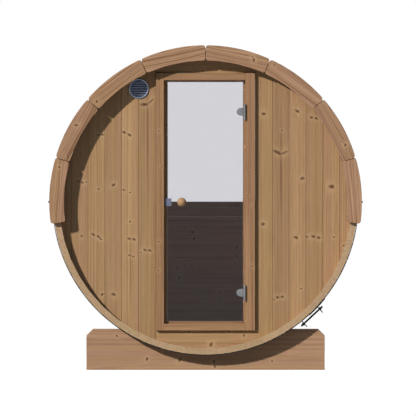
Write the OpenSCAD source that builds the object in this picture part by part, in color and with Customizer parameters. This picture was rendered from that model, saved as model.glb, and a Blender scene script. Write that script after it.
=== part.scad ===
// Barrel sauna: a round timber cabin lying on two cradles, with a glass door in one end and a
// half-round window in the other. Front faces -Y, the barrel's axis runs along Y, and Z = 0 is the
// ground under the cradles. Heights inside the barrel are counted from its axis.

/* [Barrel] */
// Outer radius of the ring of staves
barrel_r = 1005; // [1000:5:1250]
// Length of the staves
barrel_len = 1800; // [1400:50:3000]
// Thickness of a stave
stave_t = 42; // [34:1:50]
// Number of staves round the barrel
stave_count = 48; // [40:1:64]
// Hairline joint between neighbouring staves
stave_joint = 0.4; // [0.2:0.1:1]
// Chamfer along the long edges of a stave
stave_chamfer = 4; // [1:0.5:6]

/* [Curved trim boards] */
// Thickness of the trim boards along the barrel
trim_t = 39; // [25:1:60]
// How far the trim stands outside the staves
trim_over = 25; // [5:1:60]
// How far the trim reaches inside the staves
trim_lip = 30; // [5:1:35]
// Angle that one trim board covers
trim_angle = 24.5; // [16:0.5:26]
// Open joint between neighbouring trim boards
trim_joint = 1; // [0.5:0.5:5]
// Size of the cut-off corners of a trim board
trim_corner = 9; // [2:1:20]

/* [End walls] */
// Thickness of the end walls
wall_t = 42; // [34:1:60]
// Distance from the stave ends back to the face of an end wall
wall_set = 64; // [40:1:100]

/* [Door frame] */
// Half of the frame's outer width
frame_half_w = 326; // [320:1:370]
// Top of the frame above the barrel's axis
frame_top = 851; // [780:1:860]
// Bottom of the frame below the barrel's axis
frame_bottom = 845; // [780:1:860]
// Face width of the left stile
stile_left_w = 52; // [40:1:70]
// Face width of the hinge stile
stile_right_w = 65; // [40:1:80]
// Face width of the head
head_w = 47; // [40:1:70]
// Face width of the sill
sill_w = 45; // [40:1:70]
// How far the frame stands in front of the wall
frame_proud = 28; // [10:1:50]
// Depth from the frame's face to the door stop
rebate_depth = 37; // [30:1:42]
// Door stop, reach past the left stile
stop_left = 25; // [15:1:40]
// Door stop, reach past the hinge stile
stop_right = 15; // [13:1:30]
// Door stop, reach below the head
stop_top = 12.5; // [12:0.5:30]
// Door stop, reach above the sill
stop_bottom = 18; // [12:1:30]

/* [Door leaf] */
// Thickness of the glass
glass_t = 8; // [6:1:10]
// How far the glass laps over the stop
glass_lap = 7; // [4:0.5:7]
// Running clearance of the leaf in front of the stop
leaf_gap = 5; // [5:1:8]
// Radius of the ball knobs
knob_r = 30; // [20:1:35]
// Radius of a knob's neck
knob_neck_r = 13; // [8:1:18]
// Length of a knob's neck
knob_neck = 9; // [4:1:20]
// Distance from the door opening's left edge to the knob
knob_in = 92; // [60:1:140]
// Width of the catch plate on the glass
latch_w = 33; // [20:1:50]
// Height of the catch plate
latch_h = 50; // [30:1:80]
// Thickness of the catch plate
latch_t = 4; // [2:0.5:6]

/* [Hinges] */
// Height of each hinge above or below the barrel's axis
hinge_z = 596; // [300:1:650]
// Height of a hinge
hinge_h = 104; // [60:2:140]
// Radius of the hinge barrel
knuckle_r = 7; // [6:0.5:9]
// Radius of the hinge pin
pin_r = 3; // [2:0.5:4]
// Hinge pin, distance in front of the frame's face
pin_ahead = 10; // [8:1:20]
// Hinge pin, distance inside the hinge stile's edge
pin_in = 4; // [3:0.5:6]
// Radius of the round clamp on the glass
clamp_r = 24; // [18:1:30]
// Clamp centre, distance from the hinge stile's edge
clamp_in = 33.5; // [30:0.5:50]
// Thickness of the clamp outside the glass
clamp_out_t = 10; // [5:1:14]
// Thickness of the clamp inside the glass
clamp_back_t = 5; // [3:1:8]

/* [Vent] */
// Radius of the round vent grille
vent_r = 65.5; // [40:0.5:70]
// Vent centre, distance left of the barrel's axis
vent_x = 440; // [400:1:560]
// Vent centre, height above the barrel's axis
vent_z = 748; // [400:1:750]
// Depth of the grille's body
vent_t = 9; // [5:1:20]
// Width of the grille's rim
vent_rim = 8; // [4:1:15]
// Number of louvres
vent_louvres = 9; // [5:1:12]
// Radius of the duct through the wall
vent_duct_r = 50; // [30:1:52]

/* [Rear window] */
// Height of the rail under the window
rail_h = 99; // [60:1:140]
// Width of the curved window frame
window_frame_w = 90; // [60:1:120]
// Thickness of the window's glass
window_glass_t = 8; // [4:1:12]
// Depth of the groove that holds the window's glass
window_groove = 10; // [5:1:15]
// Number of curved pieces in the window frame
window_arcs = 6; // [4:1:8]

/* [Floor] */
// Floor surface below the barrel's axis
floor_drop = 806; // [760:1:815]
// Width of a floor board
floor_board_w = 106; // [80:1:140]
// Thickness of a floor board
floor_board_t = 28; // [20:1:35]
// Gap between floor boards
floor_gap = 8; // [4:1:12]
// Number of floor boards
floor_boards = 8; // [6:1:8]
// Thickness of a floor bearer
bearer_t = 45; // [30:1:70]
// Number of floor bearers
bearer_count = 4; // [2:1:6]

/* [Cradles] */
// Length of a cradle across the barrel
cradle_len = 1570; // [1300:10:1900]
// Height of a cradle
cradle_h = 267; // [220:1:330]
// Thickness of a cradle
cradle_t = 90; // [45:5:140]
// Timber left under the barrel at its lowest line
cradle_under = 99; // [60:1:140]
// Size of the cut-off top corners of a cradle
cradle_corner = 44; // [10:1:80]
// Distance from an end band to the cradle behind it
cradle_gap = 5; // [2:1:60]

/* [Bands] */
// Thickness of a steel band
band_t = 4; // [1:0.5:5]
// Width of a steel band
band_w = 40; // [20:1:50]
// Tensioner position, degrees round from the barrel's lowest line
screw_angle = 42.9; // [36:0.1:70]
// Distance from the staves to the middle of the tensioner's rod
screw_out = 23; // [18:1:40]
// Radius of the tensioner's rod
screw_r = 5; // [3:0.5:6]
// Length of the tensioner's rod
screw_len = 190; // [170:1:260]
// Distance between the two lugs that hold the rod
lug_spread = 139; // [100:1:150]
// Height of the lugs above the staves
lug_out = 53; // [45:1:80]
// Thickness of a lug
lug_t = 4; // [2:0.5:6]
// Height of the bolted side lugs above the staves
side_lug_out = 31; // [28:1:60]

/* [Fits] */
// Gap between pieces that are seated on each other
fit = 0.3; // [0.1:0.1:0.5]
// Radial clearance of a hinge pin in its bore
pin_fit = 0.05; // [0.02:0.01:0.1]

/* [Hidden] */
$fn = 360;

// Colours of the finishes
wall_colour = [0.62, 0.48, 0.34];
stave_colour = [0.70, 0.58, 0.43];
trim_colour = [0.65, 0.50, 0.38];
knob_colour = [0.69, 0.54, 0.37];
glass_colour = [0.60, 0.60, 0.63, 0.45];
hinge_colour = [0.55, 0.55, 0.55];
catch_colour = [0.50, 0.54, 0.62];
vent_colour = [0.45, 0.50, 0.60];
band_colour = [0.20, 0.20, 0.22];

// Barrel
axis_z = cradle_under + fit + barrel_r;
end_y = barrel_len / 2;
stave_step = 360 / stave_count;
stave_groups = 8;
stave_face = barrel_r * cos(stave_step / 2);
stave_inside = stave_face - stave_t;
wall_r = stave_inside - fit;

// Trim
trim_in = barrel_r - stave_t - trim_lip;
trim_out = barrel_r + trim_over;
trim_per_side = 4;
// Radial margin by which a cutting outline passes the ring that it cuts
clear_of_ring = 80;

// Front wall and door frame, from front to back
wall_face_y = -end_y + wall_set;
wall_back_y = wall_face_y + wall_t;
frame_face_y = wall_face_y - frame_proud;
stop_face_y = frame_face_y + rebate_depth;
jamb_left_x = -frame_half_w + stile_left_w;
jamb_right_x = frame_half_w - stile_right_w;
jamb_top_z = frame_top - head_w;
jamb_bottom_z = -frame_bottom + sill_w;
open_left_x = jamb_left_x + stop_left;
open_right_x = jamb_right_x - stop_right;
open_top_z = jamb_top_z - stop_top;
open_bottom_z = jamb_bottom_z + stop_bottom;

// Door leaf
glass_back_y = stop_face_y - leaf_gap;
glass_face_y = glass_back_y - glass_t;
glass_left_x = open_left_x - glass_lap;
glass_right_x = open_right_x + glass_lap;
glass_top_z = open_top_z + glass_lap;
glass_bottom_z = open_bottom_z - glass_lap;
knob_x = open_left_x + knob_in;
spigot_r = 5;
spigot_hole_r = 6;

// Hinges
pin_x = jamb_right_x - pin_in;
pin_y = frame_face_y - pin_ahead;
knuckle_gap = 1;
leaf_knuckle_h = hinge_h / 2;
hinge_plate_t = 2;
clamp_x = jamb_right_x - clamp_in;
clamp_stop_gap = 6;
web_t = 6;
clamp_bolt_r = 5;
clamp_hole_r = 6;

// Catch
strike_t = 3;
latch_fold_t = 1.5;
strike_edge = 4;

// Rear end
rear_wall_y = -wall_back_y;
window_r = wall_r - window_frame_w;
window_glass_y = rear_wall_y + wall_t / 2;
arc_joint = 0.4;

// Floor
floor_z = -floor_drop;
bearer_top_z = floor_z - floor_board_t - fit;
floor_w = floor_boards * floor_board_w + (floor_boards - 1) * floor_gap;
floor_len = 2 * (rear_wall_y - fit);
bearer_end_set = 90;

// Bands
band_in = barrel_r + fit;
band_out = band_in + band_t;
band_mid = band_in + band_t / 2;
band_end_y = end_y - wall_set - wall_t / 2;
lug_foot_t = 4;
lug_foot_from = screw_angle - 0.4;
lug_foot_to = screw_angle + 8.1;
rod_r_pos = barrel_r + screw_out;
nut_r = 9;
nut_h = 9;

// Cradles
cradle_y = band_end_y - band_w / 2 - cradle_gap - cradle_t / 2;
rod_hole_r = screw_r + 0.6;

// ---- helpers ----

// A point at radius r, turned a degrees anticlockwise from the lowest line
function at(r, a) = [r * sin(a), -r * cos(a)];

// Turns an outline drawn across the barrel, round the axis, into a solid from y0 to y1
module along_y(y0, y1) {
    translate([0, y1, axis_z])
        rotate([90, 0, 0])
            linear_extrude(y1 - y0)
                children();
}

// A box between two corners, with heights counted from the barrel's axis
module block(low, high) {
    translate([low[0], low[1], axis_z + low[2]])
        cube(high - low);
}

module ring_outline(r_in, r_out) {
    difference() {
        circle(r_out);
        circle(r_in);
    }
}

// A plain wedge from angle a0 to a1, which cuts a sector out of a ring from r_in to r_out
module wedge(r_in, r_out, a0, a1) {
    mid = (a0 + a1) / 2;
    polygon([
        at(r_in - clear_of_ring, a0),
        at(r_out + clear_of_ring, a0),
        at(r_out + clear_of_ring, mid),
        at(r_out + clear_of_ring, a1),
        at(r_in - clear_of_ring, a1)
    ]);
}

// A wedge from angle a0 to a1 whose corners are cut off by c where it meets r_in and r_out
module nicked_wedge(r_in, r_out, a0, a1, c) {
    nick_in = c / r_in * 180 / PI;
    nick_out = c / r_out * 180 / PI;
    mid = (a0 + a1) / 2;
    polygon([
        at(r_in - clear_of_ring, a0 + nick_in),
        at(r_in, a0 + nick_in),
        at(r_in + c, a0),
        at(r_out - c, a0),
        at(r_out, a0 + nick_out),
        at(r_out + clear_of_ring, a0 + nick_out),
        at(r_out + clear_of_ring, mid),
        at(r_out + clear_of_ring, a1 - nick_out),
        at(r_out, a1 - nick_out),
        at(r_out - c, a1),
        at(r_in + c, a1),
        at(r_in, a1 - nick_in),
        at(r_in - clear_of_ring, a1 - nick_in)
    ]);
}

// ---- barrel ----

// Cross-section of one flat board with bevelled sides and chamfered edges
module stave_outline() {
    side = tan(stave_step / 2);
    half_out = stave_face * side - stave_joint / 2;
    half_in = stave_inside * side - stave_joint / 2;
    c = stave_chamfer;
    polygon([
        [-half_in + c, -stave_inside],
        [-half_in - c * side, -stave_inside - c],
        [-half_out + c * side, -stave_face + c],
        [-half_out + c, -stave_face],
        [half_out - c, -stave_face],
        [half_out - c * side, -stave_face + c],
        [half_in + c * side, -stave_inside - c],
        [half_in - c, -stave_inside]
    ]);
}

// The staves whose middle lies in one eighth of the ring; group 0 is at the bottom
module stave_group(group) {
    eighth = stave_count / stave_groups;
    color(stave_colour)
        along_y(-end_y, end_y)
            for (i = [0 : stave_count - 1])
                if (floor(((i + 0.5 + eighth / 2) % stave_count) / eighth) == group)
                    rotate(stave_step * (i + 0.5))
                        stave_outline();
}

// ---- curved trim boards ----

// One side's boards on the end of the barrel, from the top down; side is 1 right or -1 left
module trim_side(side, y0) {
    joint = trim_joint / trim_in * 180 / PI / 2;
    color(trim_colour)
        along_y(y0, y0 + trim_t)
            for (i = [0 : trim_per_side - 1])
                intersection() {
                    ring_outline(trim_in, trim_out);
                    mirror([side < 0 ? 1 : 0, 0])
                        nicked_wedge(trim_in, trim_out,
                                     180 - (i + 1) * trim_angle + joint,
                                     180 - i * trim_angle - joint, trim_corner);
                }
}

// ---- front wall ----

module wall_piece(y0, low, high) {
    along_y(y0, y0 + wall_t)
        intersection() {
            circle(wall_r);
            translate(low)
                square(high - low);
        }
}

module front_wall_left() {
    color(wall_colour)
        difference() {
            wall_piece(wall_face_y, [-wall_r, -wall_r], [-frame_half_w - fit, wall_r]);
            along_y(wall_face_y - 1, wall_back_y + 1)
                translate([-vent_x, vent_z])
                    circle(vent_duct_r);
        }
}

module front_wall_right() {
    color(wall_colour)
        wall_piece(wall_face_y, [frame_half_w + fit, -wall_r], [wall_r, wall_r]);
}

module front_wall_top() {
    color(wall_colour)
        wall_piece(wall_face_y, [-frame_half_w, frame_top + fit], [frame_half_w, wall_r]);
}

module front_wall_bottom() {
    color(wall_colour)
        wall_piece(wall_face_y, [-frame_half_w, -wall_r], [frame_half_w, -frame_bottom - fit]);
}

// ---- vent ----

// A round rim screwed to the wall, with sloping louvres between its sides
module vent_grille() {
    inner_r = vent_r - vent_rim;
    pitch = 2 * inner_r / (vent_louvres + 1);
    blade_t = 1.6;
    blade_slope = 35;
    y0 = wall_face_y - fit - vent_t;
    color(vent_colour) {
        along_y(y0, y0 + vent_t)
            translate([-vent_x, vent_z])
                ring_outline(inner_r, vent_r);
        intersection() {
            along_y(y0 + 1, y0 + vent_t)
                translate([-vent_x, vent_z])
                    circle(inner_r + 1);
            for (i = [1 : vent_louvres])
                translate([-vent_x, y0 + vent_t / 2, axis_z + vent_z - inner_r + i * pitch])
                    rotate([blade_slope, 0, 0])
                        cube([2 * inner_r + 2, vent_t, blade_t], center = true);
        }
    }
}

// ---- door frame ----

// A rebated stile: its face part, and the stop that the leaf closes towards
module stile(outer_x, jamb_x, open_x) {
    color(wall_colour) {
        block([min(outer_x, jamb_x), frame_face_y, -frame_bottom],
              [max(outer_x, jamb_x), wall_back_y, frame_top]);
        block([min(outer_x, open_x), stop_face_y, -frame_bottom],
              [max(outer_x, open_x), wall_back_y, frame_top]);
    }
}

// A rebated head or sill, fitted between the stiles
module frame_rail(outer_z, jamb_z, open_z) {
    color(wall_colour) {
        block([jamb_left_x + fit, frame_face_y, min(outer_z, jamb_z)],
              [jamb_right_x - fit, stop_face_y, max(outer_z, jamb_z)]);
        block([open_left_x + fit, stop_face_y, min(outer_z, open_z)],
              [open_right_x - fit, wall_back_y, max(outer_z, open_z)]);
    }
}

module door_frame_left() {
    difference() {
        stile(-frame_half_w, jamb_left_x, open_left_x);
        strike_plate(fit);
    }
}

module door_frame_right() {
    stile(frame_half_w, jamb_right_x, open_right_x);
}

module door_frame_top() {
    frame_rail(frame_top, jamb_top_z, open_top_z);
}

module door_frame_bottom() {
    frame_rail(-frame_bottom, jamb_bottom_z, open_bottom_z);
}

// Steel plate let into the stop, where the catch closes; grow enlarges it to cut its recess
module strike_plate(grow) {
    block([jamb_left_x + strike_edge - grow, stop_face_y - grow, -latch_h / 2 - grow],
          [open_left_x - strike_edge + grow, stop_face_y + strike_t + grow,
           latch_h / 2 + grow]);
}

module latch_strike() {
    color(hinge_colour)
        strike_plate(0);
}

// ---- hinges ----

module knuckle(z0, z1) {
    translate([pin_x, pin_y, axis_z + z0])
        cylinder(r = knuckle_r, h = z1 - z0);
}

// Fixed half: a plate on the stile's inner edge, two knuckles and the pin through them
module hinge_frame(mid_z) {
    low = mid_z - hinge_h / 2;
    high = mid_z + hinge_h / 2;
    leaf_low = mid_z - leaf_knuckle_h / 2 - knuckle_gap;
    leaf_high = mid_z + leaf_knuckle_h / 2 + knuckle_gap;
    plate_x1 = jamb_right_x - fit;
    plate_x0 = plate_x1 - hinge_plate_t;
    color(hinge_colour) {
        block([plate_x0, frame_face_y, low], [plate_x1, stop_face_y - fit, high]);
        for (span = [[low, leaf_low], [leaf_high, high]]) {
            knuckle(span[0], span[1]);
            block([plate_x0, pin_y, span[0]], [plate_x1, frame_face_y, span[1]]);
        }
        translate([pin_x, pin_y, axis_z + low])
            cylinder(r = pin_r, h = hinge_h);
    }
}

// One round clamp plate with a straight side towards the hinge
module clamp_plate(y0, y1, mid_z, side_x) {
    along_y(y0, y1)
        translate([0, mid_z]) {
            translate([clamp_x, 0])
                intersection() {
                    circle(clamp_r);
                    translate([-clamp_r, -clamp_r])
                        square([clamp_r + side_x - clamp_x, 2 * clamp_r]);
                }
            if (side_x > clamp_x + clamp_r / 2)
                translate([clamp_x, -leaf_knuckle_h / 2])
                    square([side_x - clamp_x, leaf_knuckle_h]);
        }
}

// Moving half: the knuckle on the pin, its arm, and the clamp on both sides of the glass
module hinge_leaf(mid_z) {
    low = mid_z - leaf_knuckle_h / 2;
    high = mid_z + leaf_knuckle_h / 2;
    arm_x1 = pin_x - pin_in;
    arm_x0 = arm_x1 - web_t;
    plate_y = glass_face_y - fit;
    color(hinge_colour)
        difference() {
            union() {
                knuckle(low, high);
                block([arm_x0, pin_y, low], [arm_x1, plate_y, high]);
                clamp_plate(plate_y - clamp_out_t, plate_y, mid_z, arm_x1);
                clamp_plate(glass_back_y + fit, glass_back_y + fit + clamp_back_t, mid_z,
                            open_right_x - clamp_stop_gap);
                along_y(plate_y - 1, glass_back_y + fit + 1)
                    translate([clamp_x, mid_z])
                        circle(clamp_bolt_r);
            }
            translate([pin_x, pin_y, axis_z + low - 1])
                cylinder(r = pin_r + pin_fit, h = leaf_knuckle_h + 2);
        }
}

// ---- door leaf ----

module door_glass() {
    color(glass_colour)
        along_y(glass_face_y, glass_back_y)
            difference() {
                translate([glass_left_x, glass_bottom_z])
                    square([glass_right_x - glass_left_x, glass_top_z - glass_bottom_z]);
                translate([knob_x, 0])
                    circle(spigot_hole_r);
                for (z = [-hinge_z, hinge_z])
                    translate([clamp_x, z])
                        circle(clamp_hole_r);
            }
}

// A ball on a neck; outward is -1 in front of the glass and 1 behind it
module knob(outward) {
    y0 = outward < 0 ? glass_face_y - fit : glass_back_y + fit;
    ball = knob_neck + sqrt(knob_r * knob_r - knob_neck_r * knob_neck_r);
    translate([knob_x, y0, axis_z])
        rotate([outward < 0 ? 90 : -90, 0, 0]) {
            cylinder(r = knob_neck_r, h = ball);
            translate([0, 0, ball])
                sphere(r = knob_r, $fn = 96);
        }
}

module knob_outside() {
    color(knob_colour) {
        knob(-1);
        translate([knob_x, glass_back_y, axis_z])
            rotate([90, 0, 0])
                cylinder(r = spigot_r, h = glass_t + 2 * fit);
    }
}

module knob_inside() {
    color(knob_colour)
        knob(1);
}

// A plate on the face of the glass, folded back over its edge
module latch_plate() {
    edge_x = glass_left_x - fit;
    half_h = latch_h / 2;
    color(catch_colour) {
        block([edge_x - latch_fold_t, glass_face_y - fit - latch_t, -half_h],
              [edge_x - latch_fold_t + latch_w, glass_face_y - fit, half_h]);
        block([edge_x - latch_fold_t, glass_face_y - fit, -half_h],
              [edge_x, glass_back_y, half_h]);
    }
}

// ---- rear end ----

module window_glass_outline(grow) {
    intersection() {
        circle(window_r + window_groove + grow);
        translate([-barrel_r, -window_groove - grow])
            square([2 * barrel_r, 2 * barrel_r]);
    }
}

module window_glass(grow) {
    half_t = window_glass_t / 2 + grow;
    along_y(window_glass_y - half_t, window_glass_y + half_t)
        window_glass_outline(grow);
}

module rear_wall_lower() {
    color(wall_colour)
        wall_piece(rear_wall_y, [-wall_r, -wall_r], [wall_r, -rail_h - fit]);
}

module rear_window_rail() {
    color(wall_colour)
        difference() {
            wall_piece(rear_wall_y, [-wall_r, -rail_h], [wall_r, 0]);
            window_glass(fit);
        }
}

module rear_window_frame() {
    step = 180 / window_arcs;
    joint = arc_joint / window_r * 180 / PI / 2;
    color(wall_colour)
        difference() {
            along_y(rear_wall_y, rear_wall_y + wall_t)
                for (i = [0 : window_arcs - 1])
                    intersection() {
                        ring_outline(window_r, wall_r);
                        wedge(window_r, wall_r, 90 + i * step + joint,
                              90 + (i + 1) * step - joint);
                        translate([-barrel_r, fit])
                            square([2 * barrel_r, barrel_r]);
                    }
            window_glass(fit);
        }
}

module rear_window_glass() {
    color(glass_colour)
        window_glass(0);
}

// ---- floor ----

module floor_boards() {
    color(wall_colour)
        for (i = [0 : floor_boards - 1])
            block([-floor_w / 2 + i * (floor_board_w + floor_gap), -floor_len / 2,
                   floor_z - floor_board_t],
                  [-floor_w / 2 + i * (floor_board_w + floor_gap) + floor_board_w,
                   floor_len / 2, floor_z]);
}

// Cross pieces cut to the barrel's curve, under the boards
module floor_bearers() {
    first = -floor_len / 2 + bearer_end_set;
    pitch = (floor_len - 2 * bearer_end_set - bearer_t) / (bearer_count - 1);
    color(wall_colour)
        for (i = [0 : bearer_count - 1])
            along_y(first + i * pitch, first + i * pitch + bearer_t)
                intersection() {
                    circle(wall_r);
                    translate([-floor_w / 2, -wall_r])
                        square([floor_w, wall_r + bearer_top_z]);
                }
}

// ---- cradles ----

// A plank on edge, with its top corners cut off and a seat cut to the barrel's curve
module cradle(mid_y) {
    half = cradle_len / 2;
    c = cradle_corner;
    color(trim_colour)
        along_y(mid_y - cradle_t / 2, mid_y + cradle_t / 2)
            difference() {
                translate([0, -axis_z])
                    polygon([
                        [-half, 0], [half, 0],
                        [half, cradle_h - c], [half - c, cradle_h],
                        [-half + c, cradle_h], [-half, cradle_h - c]
                    ]);
                circle(barrel_r + fit);
            }
}

// ---- bands ----

// Turns an outline to an angle from the lowest line: y points away from the barrel's axis
module at_turn(angle) {
    rotate(angle)
        mirror([0, 1])
            children();
}

// A lug at distance x along the rod, from inside the strap's thickness out to height out
module lug_outline(x, thickness, out) {
    root = sqrt(band_mid * band_mid - x * x);
    translate([x - thickness / 2, root])
        square([thickness, barrel_r + out - root]);
}

// A steel strap round the staves, its foot plate, two screw lugs and a bolted lug on each side
module band(mid_y) {
    y0 = mid_y - band_w / 2;
    y1 = mid_y + band_w / 2;
    color(band_colour)
        difference() {
            union() {
                along_y(y0, y1)
                    ring_outline(band_in, band_out);
                along_y(y0, y1)
                    intersection() {
                        ring_outline(band_mid, band_out + lug_foot_t);
                        wedge(band_mid, band_out + lug_foot_t, lug_foot_from, lug_foot_to);
                    }
                along_y(y0, y1)
                    at_turn(screw_angle)
                        for (x = [-lug_spread / 2, lug_spread / 2])
                            lug_outline(x, lug_t, lug_out);
                for (turn = [90, 270])
                    along_y(y0, y1)
                        at_turn(turn)
                            lug_outline(0, 2 * lug_t, side_lug_out);
            }
            screw_place(mid_y)
                cylinder(r = rod_hole_r, h = lug_spread + 4 * lug_t, center = true);
        }
}

// The rod's frame of reference: its axis along Z, its middle at the origin
module screw_place(mid_y) {
    translate([0, mid_y, axis_z])
        rotate([0, -screw_angle, 0])
            translate([0, 0, -rod_r_pos])
                rotate([0, 90, 0])
                    children();
}

// A threaded rod through the lugs, with a nut outside each lug and a locking nut behind it
module tensioner(mid_y) {
    nut_z = lug_spread / 2 + lug_t / 2 + fit;
    color(band_colour)
        screw_place(mid_y) {
            cylinder(r = screw_r, h = screw_len, center = true);
            for (side = [0, 1])
                mirror([0, 0, side])
                    translate([0, 0, nut_z])
                        cylinder(r = nut_r, h = nut_h, $fn = 6);
        }
}

stave_group(0);  // staves_bottom
stave_group(1);  // staves_lower_right
stave_group(2);  // staves_right
stave_group(3);  // staves_upper_right
stave_group(4);  // staves_top
stave_group(5);  // staves_upper_left
stave_group(6);  // staves_left
stave_group(7);  // staves_lower_left
trim_side(-1, -end_y - trim_t - fit);  // front_trim_left
trim_side(1, -end_y - trim_t - fit);  // front_trim_right
trim_side(-1, end_y + fit);  // rear_trim_left
trim_side(1, end_y + fit);  // rear_trim_right
front_wall_left();
front_wall_right();
front_wall_top();
front_wall_bottom();
vent_grille();
door_frame_left();
door_frame_right();
door_frame_top();
door_frame_bottom();
latch_strike();
hinge_frame(hinge_z);  // upper_hinge_frame
hinge_frame(-hinge_z);  // lower_hinge_frame
door_glass();
knob_outside();
knob_inside();
latch_plate();
hinge_leaf(hinge_z);  // upper_hinge_leaf
hinge_leaf(-hinge_z);  // lower_hinge_leaf
rear_wall_lower();
rear_window_rail();
rear_window_frame();
rear_window_glass();
floor_boards();
floor_bearers();
cradle(-cradle_y);  // cradle_front
cradle(cradle_y);  // cradle_rear
band(-band_end_y);  // band_front
band(0);  // band_middle
band(band_end_y);  // band_rear
tensioner(-band_end_y);  // tensioner_front
tensioner(0);  // tensioner_middle
tensioner(band_end_y);  // tensioner_rear
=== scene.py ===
# %% [markdown]
# # A barrel sauna, board by board
#
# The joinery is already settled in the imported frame: each node there has its true size and place.
# This file gives every node its looks. Timber is the whole of this object, so each plank becomes a
# closed mesh of its own with eased edges, and carries the place that it had in its log. One shader
# then shows rings, fibres and knots that run on from a plank's face to its edge and end.

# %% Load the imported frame
import math
import random

import bmesh
import bpy
from mathutils import Matrix, Vector


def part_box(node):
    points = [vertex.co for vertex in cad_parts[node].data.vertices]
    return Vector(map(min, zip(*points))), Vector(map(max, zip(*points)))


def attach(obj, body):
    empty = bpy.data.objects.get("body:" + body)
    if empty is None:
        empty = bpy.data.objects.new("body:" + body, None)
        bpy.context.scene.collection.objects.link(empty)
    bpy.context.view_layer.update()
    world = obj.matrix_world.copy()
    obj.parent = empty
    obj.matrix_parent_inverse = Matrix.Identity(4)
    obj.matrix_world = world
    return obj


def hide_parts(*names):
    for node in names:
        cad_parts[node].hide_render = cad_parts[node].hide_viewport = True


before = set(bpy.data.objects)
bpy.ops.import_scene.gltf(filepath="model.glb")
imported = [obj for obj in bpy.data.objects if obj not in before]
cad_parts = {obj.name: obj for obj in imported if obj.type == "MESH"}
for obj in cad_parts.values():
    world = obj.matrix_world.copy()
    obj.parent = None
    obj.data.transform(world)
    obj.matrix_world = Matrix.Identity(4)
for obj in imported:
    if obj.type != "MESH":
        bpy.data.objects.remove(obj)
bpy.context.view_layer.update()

# %% [markdown]
# ## Sizes
#
# Places come from the frame's own boxes, so nothing has to be fitted by eye. The window's rail
# stops at the height of the barrel's axis, which gives the one line that everything turns round.
# Only what a box can't tell, such as a board's width, is written here as a number in metres.

# %% Take the main sizes from the frame


def low(node):
    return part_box(node)[0]


def high(node):
    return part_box(node)[1]


def middle(node):
    return (low(node) + high(node)) / 2


X, Z = 0, 2
FIT = 0.0003
STAVES = 48
STAVE_T = 0.042
axis_z = high("rear_window_rail").z
axis = Vector((0, 0, axis_z))
end_y = high("staves_top").y
wall_r = high("front_wall_right").x
stave_inside = wall_r + FIT
stave_face = stave_inside + STAVE_T
barrel_r = stave_face / math.cos(math.pi / STAVES)
print(f"axis {axis_z:.4f} m up, barrel radius {barrel_r:.4f} m, half length {end_y:.4f} m")

# %% [markdown]
# ## Camera and light
#
# The camera is orthographic, as for a drawing of the front: circles stay circles, and what lies
# straight behind something stays hidden. It looks down by a fraction of a degree, because an
# exactly level view would look clean through every groove along the barrel.
#
# A low sun from the upper left gives the recessed wall its curved shadow. A weak blue sky fills
# that shadow, and a broad soft lamp from behind on the right keeps the far side and the back from
# going dark. On a face that looks at the camera the light adds up to about 1, so a colour renders
# about as it is written.

# %% Place the camera
VIEW_WIDTH, DISTANCE, DOWN = 2.74, 5, math.radians(0.15)
VIEW_X, VIEW_BELOW_AXIS = 0.016, 0.0375
scene = bpy.context.scene
camera = bpy.data.objects.new("camera", bpy.data.cameras.new("camera"))
scene.collection.objects.link(camera)
camera.data.type = "ORTHO"
camera.data.ortho_scale = VIEW_WIDTH
camera.location = (VIEW_X, low("front_trim_left").y - DISTANCE,
                   axis_z - VIEW_BELOW_AXIS + DISTANCE * math.tan(DOWN))
camera.rotation_euler = (math.radians(90) - DOWN, 0, 0)
scene.camera = camera
scene.view_settings.view_transform = "Standard"
print(f"camera sees {VIEW_WIDTH} m across")

# %% Place the lamps


def sunlight(name, energy, softness, direction):
    lamp = bpy.data.objects.new(name, bpy.data.lights.new(name, "SUN"))
    scene.collection.objects.link(lamp)
    lamp.data.energy = energy
    lamp.data.angle = math.radians(softness)
    lamp.rotation_euler = Vector(direction).to_track_quat("-Z", "Y").to_euler()


sunlight("sun", 4.0, 2.5, (0.9, 1.0, -0.67))
sunlight("back_lamp", 2.3, 40, (-0.9, -0.75, -0.6))
print("lamps:", len(bpy.data.lights))

# %% [markdown]
# ## Node tools
#
# Shader arithmetic takes one Math node per step, which reads badly as a list of links. So a small
# class wraps a node's output, and Python's own signs build the Math nodes: `a * b + 1` makes two.

# %% Make the node tools


def node(tree, kind, inputs=(), **settings):
    """Adds one node. An input is given a number, a colour, or another node's output."""
    made = tree.nodes.new("ShaderNode" + kind)
    for name, value in settings.items():
        setattr(made, name, value)
    for name, value in dict(inputs).items():
        value = getattr(value, "socket", value)
        if isinstance(value, bpy.types.NodeSocket):
            tree.links.new(value, made.inputs[name])
        else:
            made.inputs[name].default_value = value
    return made


def signal(tree, kind, inputs=(), output=0, **settings):
    """Adds one node and gives one of its outputs, ready for arithmetic."""
    return Signal(tree, node(tree, kind, inputs, **settings).outputs[output])


def calc(operation, *values):
    """One Math node. At least one of the values is a Signal."""
    tree = next(v.tree for v in values if isinstance(v, Signal))
    return signal(tree, "Math", dict(enumerate(values)), operation=operation)


class Signal:
    """A node's output. Arithmetic on it adds the Math nodes that work it out."""

    def __init__(self, tree, socket):
        self.tree, self.socket = tree, socket

    def __add__(self, other):
        return calc("ADD", self, other)

    def __sub__(self, other):
        return calc("SUBTRACT", self, other)

    def __rsub__(self, other):
        return calc("SUBTRACT", other, self)

    def __mul__(self, other):
        return calc("MULTIPLY", self, other)

    def __truediv__(self, other):
        return calc("DIVIDE", self, other)

    def __pow__(self, other):
        return calc("POWER", self, other)

    def __lt__(self, other):
        return calc("LESS_THAN", self, other)

    def __abs__(self):
        return calc("ABSOLUTE", self)


def parts_of(tree, vector):
    """The x, y and z of a vector."""
    return [Signal(tree, s) for s in node(tree, "SeparateXYZ", {0: vector}).outputs]


def smooth_step(value, start, end):
    inputs = {"Value": value, "From Min": start, "From Max": end}
    return signal(value.tree, "MapRange", inputs, interpolation_type="SMOOTHSTEP")


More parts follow.
